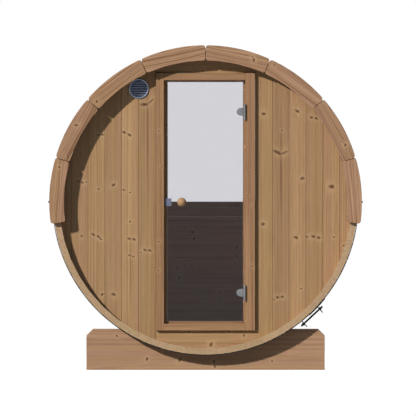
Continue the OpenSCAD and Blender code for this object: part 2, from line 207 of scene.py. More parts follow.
def blend(factor, a, b):
    """From colour a to colour b as the factor goes from 0 to 1."""
    return signal(factor.tree, "Mix", {0: factor, 6: a, 7: b}, 2, data_type="RGBA")


print("node tools ready")

# %% [markdown]
# ## Sky and floor
#
# What the camera sees directly, in a reflection or through glass is plain white. Light that a
# rough surface has scattered first meets the weak blue sky instead, or a white sky would shine
# into the cabin. The floor is a plain pale sheet that runs far past the cabin. Seen directly it
# also glows a little, so it meets the background without an edge and keeps the cabin's shadow.

# %% Paint the sky and lay the floor
SKY, WHITE = (0.072, 0.122, 0.186, 1), (1, 1, 1, 1)
FLOOR_GREY, FLOOR_GLOW = (0.34, 0.34, 0.34, 1), 0.82


def seen_directly(tree):
    """1 for rays that no rough surface has scattered, and 0 for the others."""
    path = node(tree, "LightPath").outputs
    camera_ray, glossy, through = [
        Signal(tree, path[f"Is {kind} Ray"]) for kind in ("Camera", "Glossy", "Transmission")]
    direct = calc("MAXIMUM", calc("MAXIMUM", camera_ray, glossy), through)
    return direct * (Signal(tree, path["Diffuse Depth"]) < 0.5)


def material(name):
    made = bpy.data.materials.new(name)
    made.use_nodes = True
    made.node_tree.nodes.clear()
    return made, made.node_tree


def finish(tree, shader):
    tree.links.new(shader.outputs[0], node(tree, "OutputMaterial").inputs["Surface"])


world = bpy.data.worlds.new("studio")
world.use_nodes = True
scene.world = world
tree = world.node_tree
tree.nodes.clear()
background = node(tree, "Background", {"Color": blend(seen_directly(tree), SKY, WHITE),
                                       "Strength": 1.0})
tree.links.new(background.outputs[0], node(tree, "OutputWorld").inputs["Surface"])

floor_paint, tree = material("floor_paint")
finish(tree, node(tree, "BsdfPrincipled", {
    "Base Color": FLOOR_GREY, "Roughness": 0.9, "Specular IOR Level": 0.0,
    "Emission Color": WHITE, "Emission Strength": seen_directly(tree) * FLOOR_GLOW}))
bm = bmesh.new()
bmesh.ops.create_circle(bm, cap_ends=True, radius=40, segments=64)
floor_mesh = bpy.data.meshes.new("floor")
bm.to_mesh(floor_mesh)
bm.free()
floor = bpy.data.objects.new("floor", floor_mesh)
floor_mesh.materials.append(floor_paint)
scene.collection.objects.link(floor)
print("sky and floor")

# %% [markdown]
# ## Wood
#
# Planed and heat-treated spruce: a light brown with darker late wood, fine fibres along the board,
# and knots that the rings swerve round. An image texture would repeat and stop at every edge.
# Instead each board's corners hold a point called `grain`, in metres: x runs along the board, and
# y and z are measured from the heart of its log. The distance from the heart, divided by a ring's
# width, then gives the rings on all six faces at once.
#
# A knot is where a branch left the log. It lifts the rings round it, so the first group works out
# four things from one knot's place and size: how far the rings are pushed, its brown core, its
# dark rim, and the light wood round it. Knots often come in pairs, so a size below 0 means two of
# them, and a large pair is two spikes: branches cut lengthwise, which rise from the pith like wings.

# %% Build the knot group
KNOT_LAYERS = tuple(f"knot_{n}" for n in range(1, 7))
SPIKES_BELOW, SPIKE_SLOPE = -0.0095, 0.42
FLOAT, VECTOR, COLOUR = "NodeSocketFloat", "NodeSocketVector", "NodeSocketColor"


def new_group(name, inputs, outputs):
    """A shader node group with named sockets. Returns the group and its inputs as signals."""
    group = bpy.data.node_groups.new(name, "ShaderNodeTree")
    for in_out, sockets in (("INPUT", inputs), ("OUTPUT", outputs)):
        for label, kind in sockets.items():
            group.interface.new_socket(label, in_out=in_out, socket_type=kind)
    given = group.nodes.new("NodeGroupInput").outputs
    return group, {label: Signal(group, given[label]) for label in inputs}


def give_out(tree, **values):
    """Wires a group's results to its output node."""
    target = tree.nodes.new("NodeGroupOutput")
    for label, value in values.items():
        tree.links.new(value.socket, target.inputs[label])
    print(tree.name, "group:", len(tree.nodes), "nodes")


def bell(u, v, wide_u, wide_v):
    """1 at the middle of a knot and falling off softly, over wide_u along and wide_v across."""
    return calc("EXPONENT", ((u / wide_u) ** 2 + (v / wide_v) ** 2) * -1)


tree, given = new_group("knot", {"Grain": VECTOR, "Knot": VECTOR},
                        {"Lift": FLOAT, "Core": FLOAT, "Rim": FLOAT, "Halo": FLOAT})
knot_group = tree
along, across = parts_of(tree, given["Grain"])[:2]
knot_along, knot_across, knot_size = parts_of(tree, given["Knot"])
size = abs(knot_size)
pair, spikes = knot_size < 0, knot_size < SPIKES_BELOW
u, v = (along - knot_along) / size, (across - knot_across) / size
lean = calc("FRACT", knot_along * 37) - 0.5
slanted = v * lean + u - abs(v) * (spikes * SPIKE_SLOPE)
beside = abs(v) - pair * 2.0
thinner = spikes * 0.4 * (v < 0)
ragged = signal(tree, "TexNoise", {"Vector": given["Grain"], "Scale": 130.0, "Detail": 3.0}, "Fac")
reach = calc("SQRT", (slanted * 1.1) ** 2 + (beside * (spikes * -0.34 + 0.78)) ** 2)
reach = ragged * 1.5 + (reach - 0.75 + thinner)
give_out(tree, Lift=bell(u, v, 3.6, 2.4) * (size * 0.6), Core=1 - smooth_step(reach, 0.42, 1.12),
         Rim=1 - smooth_step(abs(reach - 1.0), 0.0, 0.55), Halo=bell(slanted, beside, 2.8, 3.0))

# %% [markdown]
# The wood group uses that knot group six times, once for each knot that a board may have, and
# adds up the answers. Its inputs are what differs between boards of one cabin: two wood
# colours, the knots' colour, the width of a ring, how strong rings and streaks show, and how much
# one board differs from the next. It gives out only a colour, a roughness and a height, so that
# the shader itself stays in each material.
#
# Its first half finds the distance from the heart. Two slow noises bend it, because no log is
# round, and the knots push it aside. A ring is pale early wood that darkens towards its end.

# %% Work out the rings of the wood group
tree, given = new_group(
    "wood_grain",
    {"Early wood": COLOUR, "Late wood": COLOUR, "Knot colour": COLOUR, "Ring width": FLOAT,
     "Rings": FLOAT, "Streaks": FLOAT, "Tone spread": FLOAT, "Pin knots": FLOAT},
    {"Color": COLOUR, "Roughness": FLOAT, "Height": FLOAT})
wood_group = tree


def attribute(name, output="Vector"):
    return signal(wood_group, "Attribute", (), output, attribute_name=name)


grain, tone = attribute("grain"), attribute("tone", "Fac")
along, across, deep = parts_of(tree, grain)


def streaky(stretch, fineness, detail=2.0, roughness=0.5):
    """Noise on the grain point with its axes scaled, so that round spots become long streaks."""
    scaled = signal(wood_group, "VectorMath", {0: grain, 1: (stretch, fineness, fineness)},
                    operation="MULTIPLY")
    inputs = {"Vector": scaled, "Scale": 1.0, "Detail": detail, "Roughness": roughness}
    return signal(wood_group, "TexNoise", inputs, "Fac")


sums = {}
for layer in KNOT_LAYERS:
    found = node(tree, "Group", {}, node_tree=knot_group)
    for label, value in (("Grain", grain), ("Knot", attribute(layer))):
        tree.links.new(value.socket, found.inputs[label])
    for output in found.outputs:
        term = Signal(tree, output)
        sums[output.name] = sums[output.name] + term if output.name in sums else term
waves, ripple = streaky(0.5, 5) * 0.024 - 0.012, streaky(2, 30) * 0.003 - 0.0015
from_heart = calc("SQRT", across ** 2 + deep ** 2) + waves + (ripple + sums["Lift"])
count = from_heart / given["Ring width"]
phase, year = calc("FRACT", count), signal(
    tree, "TexWhiteNoise", {"W": calc("FLOOR", count)}, "Value", noise_dimensions="1D")
late = smooth_step(phase, 0.1, 0.8) * (1 - smooth_step(phase, 0.82, 1.0))
late = late * (year * 0.9 + 0.2) * given["Rings"]
print("rings:", len(tree.nodes), "nodes so far")

# %% [markdown]
# The second half turns that into a colour. Streaks and fibres darken the wood as the rings do,
# each board gets its own tone, and a slow noise shifts the hue. Over that come the line of the
# pith, the knots, and the pin knots: dark specks in some cells of a coarse pattern.

# %% Colour the wood group
PITH_BROWN, HALO_TAN = (0.150, 0.060, 0.028, 1), (0.52, 0.34, 0.17, 1)
RIM_BROWN, PIN_BROWN = (0.050, 0.018, 0.008, 1), (0.06, 0.028, 0.014, 1)
PITH_LENGTH, PITH_WIDTH = 0.3, 0.0060
fibre = streaky(6, 420, 2.0, 0.6)
dark = (late + (streaky(0.4, 74, 5.0, 0.68) - 0.5) * given["Streaks"]
        + (fibre * 0.7 - 0.35) * given["Streaks"])
colour = blend(dark + 0.25, given["Early wood"], given["Late wood"])
blush = streaky(0.3, 24, 3.0) + calc("FRACT", tone * 7.31) * 0.16
colour = signal(tree, "HueSaturation", {
    "Color": colour, "Value": (tone - 0.5) * given["Tone spread"] + 1.0,
    "Hue": blush * -0.034 + 0.5184, "Saturation": blush * -0.12 + 1.07})
pith_along, pith_across, pith_strength = parts_of(tree, attribute("pith"))
near_pith = bell(along - pith_along, across - pith_across, PITH_LENGTH, PITH_WIDTH)
near_pith = near_pith * pith_strength * smooth_step(streaky(2.5, 40, 3.0), 0.05, 0.4)
cells = node(tree, "TexVoronoi", {"Vector": grain, "Scale": 8.0}, voronoi_dimensions="2D")
pin = signal(tree, "SeparateColor", {0: cells.outputs["Color"]}) < given["Pin knots"]
pin = pin * (1 - smooth_step(Signal(tree, cells.outputs["Distance"]), 0.008, 0.03))
for factor, over in ((near_pith, PITH_BROWN), (sums["Halo"] * 0.42, HALO_TAN),
                     (sums["Core"] * 0.95, given["Knot colour"]), (sums["Rim"] * 0.45, RIM_BROWN),
                     (pin * 0.7, PIN_BROWN)):
    colour = blend(factor, colour, over)
give_out(tree, Color=colour, Roughness=fibre * 0.25 + 0.5 - sums["Core"] * 0.15,
         Height=fibre * 0.6 + late * 0.5 - (sums["Rim"] + pin))

# %% [markdown]
# Each kind of timber in the cabin then gets its own values. The end walls, the trim and the cradles
# are the same spruce, but the staves' sawn ends are paler, and floor boards darken less. The rear
# wall's spruce is a redder copy whose tint is painted shade: it stands for the hue of its shaded
# inner face seen through the door glass. Wood scatters light and hardly mirrors it, so its specular
# level is low.

# %% Mix the woods


def rgb(red, green, blue):
    """A colour given as a screen shows it, 0 to 255, turned to the linear values of a shader."""
    return tuple(
        v / 12.92 if v <= 0.04045 else ((v + 0.055) / 1.055) ** 2.4
        for v in (red / 255, green / 255, blue / 255)
    ) + (1.0,)


def surface(name, group, values, bump_strength, bump_depth, **shine):
    """A material whose colour, roughness and height come from a group with the given values."""
    made, tree = material(name)
    mix = node(tree, "Group", values, node_tree=group).outputs
    bump = node(tree, "Bump", {"Height": mix["Height"], "Strength": bump_strength,
                               "Distance": bump_depth})
    finish(tree, node(tree, "BsdfPrincipled", {
        "Base Color": mix["Color"], "Roughness": mix["Roughness"], "Normal": bump.outputs[0],
        **{label.replace("_", " "): value for label, value in shine.items()}}))
    return made


def wood(name, early, late, ring=0.0055, rings=0.42, streaks=1.5, spread=0.12, pins=0.25):
    return surface(name, wood_group, {
        "Early wood": rgb(*early), "Late wood": rgb(*late), "Knot colour": rgb(84, 47, 29),
        "Ring width": ring, "Rings": rings, "Streaks": streaks, "Tone spread": spread,
        "Pin knots": pins}, 0.35, 0.0006, Specular_IOR_Level=0.18)


WALL_GRAIN = {"rings": 0.22, "streaks": 1.3, "spread": 0.22}
wall_wood = wood("wall_spruce", (172, 136, 97), (120, 84, 54), **WALL_GRAIN)
# The rear wall's redder tint is painted shade, for the hue of its shaded inner face seen through the
# door glass.
rear_wood_shade_tint = wood("rear_spruce_shade_tint", (179, 138, 104), (126, 86, 61), **WALL_GRAIN)
frame_wood = wood("frame_spruce", (166, 127, 90), (114, 80, 52), ring=0.005, rings=0.35, pins=0.3)
trim_wood = wood("trim_spruce", (181, 142, 108), (116, 80, 54), ring=0.0036, rings=0.8)
stave_wood = wood("stave_spruce", (186, 156, 120), (146, 114, 80), ring=0.004, rings=0.45)
cradle_wood = wood("cradle_spruce", (172, 136, 101), (122, 89, 63), ring=0.005)
floor_wood = wood("floor_spruce", (186, 148, 110), (140, 104, 72))
knob_wood = wood("knob_birch", (188, 150, 110), (146, 108, 72), ring=0.0035, pins=0.0)
print("materials so far:", len(bpy.data.materials))

# %% [markdown]
# ## Metal, enamel and glass
#
# The steel parts are satin, never mirror-bright, and look handled: their roughness drifts in soft
# patches. One small group makes that drift for every metal. The vent's enamel is a metallic one.
# The panes are tinted grey. A pane has two faces, and light from the sun has to pass it to reach
# the cabin, which a refracting shader doesn't allow, so rays towards a lamp meet a plain
# transparent shader of the same tint instead. Each pane is also hidden from scattered light,
# which would otherwise count the same sun twice.

# %% Build the satin group and the metals
tree, given = new_group("satin", {"Colour": COLOUR, "Roughness": FLOAT, "Patches": FLOAT},
                        {"Color": COLOUR, "Roughness": FLOAT, "Height": FLOAT})
satin_group = tree
place_3d = signal(tree, "TexCoord", (), "Object")
patches = signal(tree, "TexNoise", {"Vector": place_3d, "Scale": 26.0, "Detail": 4.0}, "Fac")
grit = signal(tree, "TexNoise", {"Vector": place_3d, "Scale": 900.0, "Detail": 2.0}, "Fac")
drift = (patches - 0.5) * given["Patches"]
give_out(tree, Roughness=given["Roughness"] + drift, Height=grit, Color=signal(
    tree, "HueSaturation", {"Color": given["Colour"], "Value": drift * 1.5 + 1.0}))


def satin(name, colour, metallic, roughness, patches=0.25):
    values = {"Colour": rgb(*colour), "Roughness": roughness, "Patches": patches}
    return surface(name, satin_group, values, 0.12, 0.0002, Metallic=metallic)


hinge_steel = satin("hinge_steel", (120, 121, 123), 1.0, 0.38)
catch_metal = satin("catch_metal", (106, 111, 130), 1.0, 0.32)
vent_enamel = satin("vent_enamel", (114, 121, 136), 0.85, 0.42, 0.12)
# The louvres' enamel is lighter than the rim's as painted light on the blades. The screen's dark
# navy is partly an insect screen and partly painted shade for the shaded duct behind.
louvre_enamel_painted_light = satin("louvre_enamel_painted_light", (134, 142, 164), 0.85, 0.42, 0.12)
screen_and_painted_shade = satin("screen_and_painted_shade", (42, 48, 68), 0.0, 0.7, 0.1)
# The strike's steel is darker than the hinges' as painted shade: it stands for the jamb's shadow
# that falls over the strike.
strike_steel_painted_shade = satin("strike_steel_painted_shade", (70, 72, 78), 1.0, 0.4)
band_steel = satin("band_steel", (62, 63, 66), 1.0, 0.45)
rod_steel = satin("rod_steel", (38, 38, 42), 1.0, 0.4)
nut_zinc = satin("nut_zinc", (150, 152, 156), 1.0, 0.35)
print("materials so far:", len(bpy.data.materials))

# %% Mix the tinted glass
TINT = (0.80, 0.795, 0.82, 1)
tinted_glass, tree = material("tinted_glass")
pane = node(tree, "BsdfPrincipled", {
    "Base Color": TINT, "Roughness": 0.0, "Metallic": 0.0, "IOR": 1.3,
    "Transmission Weight": 1.0})
one_face = tuple(math.sqrt(v) for v in TINT[:3]) + (1,)
open_way = node(tree, "BsdfTransparent", {"Color": one_face})
to_lamp = node(tree, "LightPath").outputs["Is Shadow Ray"]
finish(tree, node(tree, "MixShader", {0: to_lamp, 1: pane.outputs[0], 2: open_way.outputs[0]}))
print("glass lets", TINT[:3], "through")

# %% [markdown]
# ## Tools for boards
#
# A board starts as a cube that is scaled to a plank, and its edges are eased with a bevel, because
# an edge without one catches no light and gives a model away. Boards are modelled lying along X,
# with Y across their face and Z towards the bark. A placing matrix then puts each in the cabin,
# and the same matrix turned back gives the grain point of each corner.

# %% Make the board tools
luck = random.Random(48)
NO_KNOT = Vector((-99.0, 0.0, 0.0005))
NO_PITH = Vector((-99.0, -9.0, 0.0))


def plank(length, width, thick):
    bm = bmesh.new()
    bmesh.ops.create_cube(bm, size=1.0)
    bmesh.ops.scale(bm, vec=(length, width, thick), verts=bm.verts)
    return bm


def sharp_edges(bm, degrees=40):
    return [e for e in bm.edges if e.is_manifold and e.calc_face_angle() > math.radians(degrees)]


def ease(bm, width, steps=2, edges=None):
    """Rounds the sharp edges, or the given ones."""
    bmesh.ops.bevel(bm, geom=sharp_edges(bm) if edges is None else edges, offset=width,
                    offset_type="OFFSET", affect="EDGES", segments=steps, profile=0.5,
                    material=-1, clamp_overlap=True)
    return bm


def placing(along, across, at):
    """The matrix that lays a board with its X along one direction and its Y across another."""
    along, across = Vector(along).normalized(), Vector(across).normalized()
    turn = Matrix((along, across, along.cross(across))).transposed().to_4x4()
    return Matrix.Translation(at) @ turn


def lay(bm, where):
    bmesh.ops.transform(bm, matrix=where, verts=bm.verts)
    return bm


def move(bm, place):
    return lay(bm, Matrix.Translation(place))


def some_knots(length, width, chance=2.2, largest=0.009):
    """Knots at random places on a board, as (along, across, size) from its middle."""
    found = []
    for _ in range(min(len(KNOT_LAYERS), int(luck.uniform(0, 2 * chance) + 0.5))):
        size = luck.uniform(0.45, 1.0) * largest * luck.choice((1, 1, -0.7))
        found.append((luck.uniform(-0.48, 0.48) * length, luck.uniform(-0.4, 0.4) * width, size))
    return found


def mark_grain(bm, where, knots=(), width=0.11, tone=None, pith=None):
    """Writes on each corner where it lay in its log, and on the whole board its knots, its tone
    and the dark line that shows where the saw met the pith, as (along, across, strength)."""
    heart = Vector((luck.uniform(5, 60), luck.uniform(-0.5, 0.5) * width,
                    luck.uniform(0.03, 0.09)))
    back = where.inverted()
    grain_layer = bm.verts.layers.float_vector.new("grain")
    tone_layer = bm.verts.layers.float.new("tone")
    knot_layers = [bm.verts.layers.float_vector.new(name) for name in KNOT_LAYERS]
    pith_layer = bm.verts.layers.float_vector.new("pith")
    board_tone = luck.random() if tone is None else tone
    pith_at = Vector((pith[0] + heart.x, pith[1] + heart.y, pith[2])) if pith else NO_PITH
    spots = [Vector((k[0] + heart.x, k[1] + heart.y, k[2])) for k in knots][:len(KNOT_LAYERS)]
    spots += [NO_KNOT] * (len(KNOT_LAYERS) - len(spots))
    for vert in bm.verts:
        vert[grain_layer] = back @ vert.co + heart
        vert[tone_layer] = board_tone
        vert[pith_layer] = pith_at
        for layer, spot in zip(knot_layers, spots):
            vert[layer] = spot
    return bm


def build(name, parts, finishes, body, slot, *nodes, smooth=24):
    """Joins finished parts into one piece that replaces CAD nodes and rides on a body.
    Faces that meet at less than the smooth angle are shaded as one surface, and the modifier lets
    the large faces lead, so that a flat board stays flat between its rounded edges."""
    whole = bmesh.new()
    for part in parts:
        mesh = bpy.data.meshes.new("part")
        part.to_mesh(mesh)
        part.free()
        whole.from_mesh(mesh)
        bpy.data.meshes.remove(mesh)
    mesh = bpy.data.meshes.new(name)
    whole.to_mesh(mesh)
    whole.free()
    for finish_of in finishes if isinstance(finishes, list) else [finishes]:
        mesh.materials.append(finish_of)
    mesh.polygons.foreach_set("use_smooth", [True] * len(mesh.polygons))
    mesh.set_sharp_from_angle(angle=math.radians(smooth))
    made = bpy.data.objects.new(name, mesh)
    scene.collection.objects.link(made)
    level = made.modifiers.new("level", "WEIGHTED_NORMAL")
    level.keep_sharp = True
    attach(made, body)
    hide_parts(*nodes)
    print(f"{name}: {len(parts)} parts, {len(mesh.polygons)} faces")
    return made


# %% [markdown]
# ## Staves
#
# The barrel is 48 boards on edge round a circle, with bevelled sides, so that steel bands can
# pull them tight. Each is a plank whose inner side is scaled narrower. Two of them touch,
# as pressed wood does, and chamfers leave the small V grooves that mark every joint outside.

# %% Raise the staves
HAIRLINE = 0.00004
CHAMFER = 0.0065
slope = math.tan(math.pi / STAVES)
outer_w = 2 * stave_face * slope - HAIRLINE
inner_w = 2 * stave_inside * slope - HAIRLINE


def radial(degrees):
    """The direction at an angle, counted from the barrel's lowest line towards +X."""
    return Vector((math.sin(math.radians(degrees)), 0, -math.cos(math.radians(degrees))))


def stave(degrees):
    bm = plank(2 * end_y, outer_w, STAVE_T)
    inside = [v for v in bm.verts if v.co.z < 0]
    bmesh.ops.scale(bm, vec=(1, inner_w / outer_w, 1), verts=inside)
    outer_edges = [e for e in bm.edges if abs(e.verts[0].co.x - e.verts[1].co.x) > 0.1
                   and all(v.co.z > 0 for v in e.verts)]
    ease(bm, CHAMFER, 1, outer_edges)
    ease(bm, 0.001, 1, sharp_edges(bm, 60))
    out = radial(degrees)
    where = placing((0, 1, 0), out.cross(Vector((0, 1, 0))),
                    axis + out * (stave_face - STAVE_T / 2))
    return mark_grain(lay(bm, where), where, some_knots(2 * end_y, 0.12), 0.13)


GROUPS = ("bottom", "lower_right", "right", "upper_right", "top", "upper_left", "left",
          "lower_left")
IN_GROUP = STAVES // len(GROUPS)
for number, group_name in enumerate(GROUPS):
    boards = [stave(360 / STAVES * (i + 0.5)) for i in range(STAVES)
              if int((i + 3.5) % STAVES // IN_GROUP) == number]
    build(f"barrel_{group_name}", boards, stave_wood, "cabin", "stave_wood",
          f"staves_{group_name}")

# %% [markdown]
# ## Curved trim
#
# Eight boards sawn to an arc cover the stave ends at the front and again at the rear. The easy
# shape is a section turned round the axis: a small rectangle is spun through a board's angle.
# The four corners get a large round first, and then every edge a small one.

# %% Saw the trim boards
TRIM_ANGLE, TRIM_GAP, TRIM_W, CORNER = 24.5, 0.003, 0.097, 0.016
trim_out = high("front_trim_right").z - axis_z
trim_in = trim_out - TRIM_W


def arc(r_in, r_out, y0, y1, start, end, steps):
    """A rectangle between two radii, spun round the axis from one angle to another."""
    bm = bmesh.new()
    bmesh.ops.create_grid(bm, x_segments=1, y_segments=1, size=0.5)
    bmesh.ops.scale(bm, vec=(y1 - y0, r_out - r_in, 1), verts=bm.verts)
    out = radial(start)
    lay(bm, placing((0, 1, 0), out, axis + out * (r_in + r_out) / 2
                    + Vector((0, (y0 + y1) / 2, 0))))
    whole_turn = end - start >= 360
    bmesh.ops.spin(bm, geom=bm.verts[:] + bm.edges[:] + bm.faces[:], cent=axis, axis=(0, -1, 0),
                   angle=math.radians(end - start), steps=steps, use_merge=whole_turn)
    bmesh.ops.remove_doubles(bm, verts=bm.verts, dist=1e-5)
    if whole_turn:
        inner = [f for f in bm.faces if all(not e.is_manifold for e in f.edges)]
        bmesh.ops.delete(bm, geom=inner, context="FACES")
    bmesh.ops.recalc_face_normals(bm, faces=bm.faces)
    return bm


def trim_board(side, number, y0, y1):
    gap = math.degrees(TRIM_GAP / trim_in / 2)
    start = 180 - (number + 1) * TRIM_ANGLE + gap
    end = 180 - number * TRIM_ANGLE - gap
    if side < 0:
        start, end = 360 - end, 360 - start
    bm = arc(trim_in, trim_out, y0, y1, start, end, 12)
    outward = radial((start + end) / 2)
    ends = [e for e in sharp_edges(bm)
            if abs(e.verts[0].co.y - e.verts[1].co.y) > 0.9 * (y1 - y0)]
    ease(bm, CORNER, 4, ends)
    ease(bm, 0.0025, 2)
    depth = Vector((0, -1 if y0 < 0 else 1, 0))
    where = placing(outward.cross(depth), outward,
                    axis + outward * (trim_in + trim_out) / 2 + Vector((0, (y0 + y1) / 2, 0)))
    return mark_grain(bm, where, some_knots(0.42, 0.09, 1.2), 0.1)


for end_name in ("front", "rear"):
    for side, side_name in ((-1, "left"), (1, "right")):
        cad = f"{end_name}_trim_{side_name}"
        span = (low(cad).y, high(cad).y)
        build(f"{end_name}_ring_{side_name}",
              [trim_board(side, i, *span) for i in range(4)],
              trim_wood, "cabin", "trim_wood", cad)

# %% [markdown]
# ## End walls
#
# An end wall is a row of boards sawn to a circle. So each board is cut out of a full round blank:
# a circle is extruded to the wall's thickness, and plane cuts take away what isn't this board.
# That keeps the curve true without working out a single corner. The upright joints are eased to
# the shallow V that shows in the finished wall, and the duct's hole is cut with a Boolean before
# the grain is written.

# %% Make the sawing tools
V_JOINT, SLOT_W, SLOT_DEEP = 0.0018, 0.0009, 0.006
BOARD_W = 0.1105
blank_r = (stave_inside - 0.0001) / math.cos(math.pi / STAVES)


def round_blank(radius, y0, y1, centre=axis, segments=240):
    """A disc between y0 and y1, facing along Y. With 48 segments its corners meet the staves'."""
    bm = bmesh.new()
    bmesh.ops.create_circle(bm, cap_ends=True, radius=radius, segments=segments)
    lay(bm, placing((1, 0, 0), (0, 0, 1), Vector((centre.x, y1, centre.z))))
    rim = bmesh.ops.extrude_face_region(bm, geom=bm.faces[:])
    moved = [g for g in rim["geom"] if isinstance(g, bmesh.types.BMVert)]
    bmesh.ops.translate(bm, vec=(0, y0 - y1, 0), verts=moved)
    bmesh.ops.recalc_face_normals(bm, faces=bm.faces)
    return bm


def saw(bm, line, value, away):
    """Cuts where one coordinate has a value, throws away the side towards +1 or -1, and closes
    the cut."""
    unit = Vector((line == X, 0, line == Z))
    cut = bmesh.ops.bisect_plane(bm, geom=bm.verts[:] + bm.edges[:] + bm.faces[:],
                                 plane_co=unit * value, plane_no=unit * away, clear_outer=True)
    bmesh.ops.edgeloop_fill(
        bm, edges=[g for g in cut["geom_cut"] if isinstance(g, bmesh.types.BMEdge)])
    return bm


def combine(bm, tool, operation="DIFFERENCE"):
    """Cuts one mesh out of another, or joins them, with the Boolean modifier."""
    pair = []
    for shape in (bm, tool):
        mesh = bpy.data.meshes.new("stock")
        shape.to_mesh(mesh)
        pair.append(bpy.data.objects.new("stock", mesh))
        scene.collection.objects.link(pair[-1])
    cut = pair[0].modifiers.new("cut", "BOOLEAN")
    cut.operation, cut.solver, cut.object = operation, "EXACT", pair[1]
    made = bpy.data.meshes.new_from_object(
        pair[0].evaluated_get(bpy.context.evaluated_depsgraph_get()))
    bm.clear()
    bm.from_mesh(made)
    tool.free()
    bpy.data.meshes.remove(made)
    for used in pair:
        mesh = used.data
        bpy.data.objects.remove(used)
        bpy.data.meshes.remove(mesh)
    return bm


def v_joints(bm, y_front, line, value, width=V_JOINT):
    """Eases the front edges that lie on a straight joint, where a coordinate has one value."""
    edges = [e for e in bm.edges
             if all(abs(v.co.y - y_front) < 1e-5 and abs(v.co[line] - value) < 1e-5
                    for v in e.verts)]
    return ease(bm, width, 1, edges) if edges else bm


def slot_joint(bm, x):
    """Cuts half of a tongued joint: a slot as deep as the tongue, and the V in front of it."""
    cutter = plank(SLOT_W, 2 * SLOT_DEEP, 2 * wall_r)
    combine(bm, move(cutter, (x, wall_front, axis_z)))
    inner = x + math.copysign(SLOT_W / 2, sum(v.co.x for v in bm.verts) / len(bm.verts) - x)
    return v_joints(bm, wall_front, X, inner)


print("saw, Boolean and V joint ready")

# %% [markdown]
# The knots of the front wall are listed one by one, because they are what the eye recognises. Each
# row is a place across the wall and above the axis, and a size, all in metres. A board takes the
# knots that fall between its two edges, and in the same way a pith line, given by its place, its
# middle height and its strength. The boards' tones are chosen as well, from the door frame outwards,
# since light and dark boards in turn make the wall readable.

# %% Put up the front wall
WALL_KNOTS = (
    (-0.692, 0.443, -0.007), (-0.519, 0.452, -0.009), (-0.825, 0.134, -0.007),
    (-0.784, 0.134, 0.005), (-0.706, 0.088, 0.006), (-0.606, 0.114, 0.009),
    (-0.538, 0.081, 0.006), (-0.498, 0.065, 0.005), (-0.498, -0.127, 0.006),
    (-0.817, -0.222, 0.006), (-0.722, -0.220, -0.009), (-0.690, -0.242, 0.006),
    (-0.487, -0.242, -0.008), (-0.384, -0.316, -0.008), (-0.429, -0.331, 0.005),
    (-0.488, -0.354, -0.006), (-0.494, -0.452, 0.010), (-0.301, -0.455, 0.006),
    (-0.680, -0.607, 0.008), (-0.606, -0.607, 0.010), (-0.381, 0.645, -0.011),
    (0.382, 0.583, 0.010), (0.604, 0.600, 0.010), (0.714, 0.555, -0.008),
    (0.503, 0.476, 0.005), (0.497, 0.318, -0.012), (0.638, 0.158, 0.010),
    (0.830, 0.103, 0.013), (0.378, -0.143, 0.010), (0.596, -0.232, 0.010),
    (0.666, -0.227, 0.007), (0.727, -0.229, -0.009), (0.846, -0.229, 0.006),
    (0.909, -0.285, 0.006), (0.629, -0.569, 0.005), (0.490, -0.624, -0.008),
    (0.450, -0.640, 0.005),
)
PITHS = ((-0.381, 0.45, 0.75), (-0.494, -0.47, 0.6), (0.497, 0.20, 0.9), (0.775, 0.30, 0.35))
WALL_TONES = {-1: (0.2, 1.0, 0.45, 0.55, 0.6, 0.5), 1: (0.55, 0.2, 0.9, 0.3, 0.8, 0.5)}
wall_front, wall_back = low("front_wall_left").y, high("front_wall_left").y
frame_right = high("door_frame_right").x
FIRST_BOARD_W, DUCT_R = 0.1152, 0.05
vent = middle("vent_grille")


def edges_of_boards(start, end):
    """Joint lines from the door frame outwards, with the last board running to the curve."""
    lines = [start]
    while lines[-1] + 1.35 * BOARD_W < end:
        lines.append(lines[-1] + (FIRST_BOARD_W if len(lines) == 1 else BOARD_W))
    return lines + [end]


def wall_side(side):
    lines = edges_of_boards(frame_right + FIT, wall_r)
    boards = []
    for x0, x1, tone in zip(lines, lines[1:], WALL_TONES[side]):
        if side < 0:
            x0, x1 = -x1, -x0
        bm = round_blank(blank_r, wall_front, wall_back, segments=STAVES)
        for x, away in ((x0, -1), (x1, 1)):
            if abs(x) < wall_r - 0.001:
                saw(bm, X, x, away)
                slot_joint(bm, x)
        if side < 0 and x0 < vent.x + DUCT_R and x1 > vent.x - DUCT_R:
            combine(bm, round_blank(DUCT_R, wall_front - 0.01, wall_back + 0.01, vent, 72))
        centre = Vector(((x0 + x1) / 2, (wall_front + wall_back) / 2, axis_z))
        knots = [(z, centre.x - x, s) for x, z, s in WALL_KNOTS if x0 < x < x1]
        where = placing((0, 0, 1), (-1, 0, 0), centre)
        piths = [(z, centre.x - x, s) for x, z, s in PITHS if x0 < x < x1]
        boards.append(mark_grain(bm, where, knots, tone=tone, pith=(piths + [None])[0]))
    return boards


for side, name in ((-1, "left"), (1, "right")):
    build(f"front_boards_{name}", wall_side(side), wall_wood, "cabin", "wall_wood",
          f"front_wall_{name}")

# %% [markdown]
# Above and below the door one short board lies level and follows the curve. The same blank is
# sawn three times, at both door posts and at the frame, and the circle gives the last side.

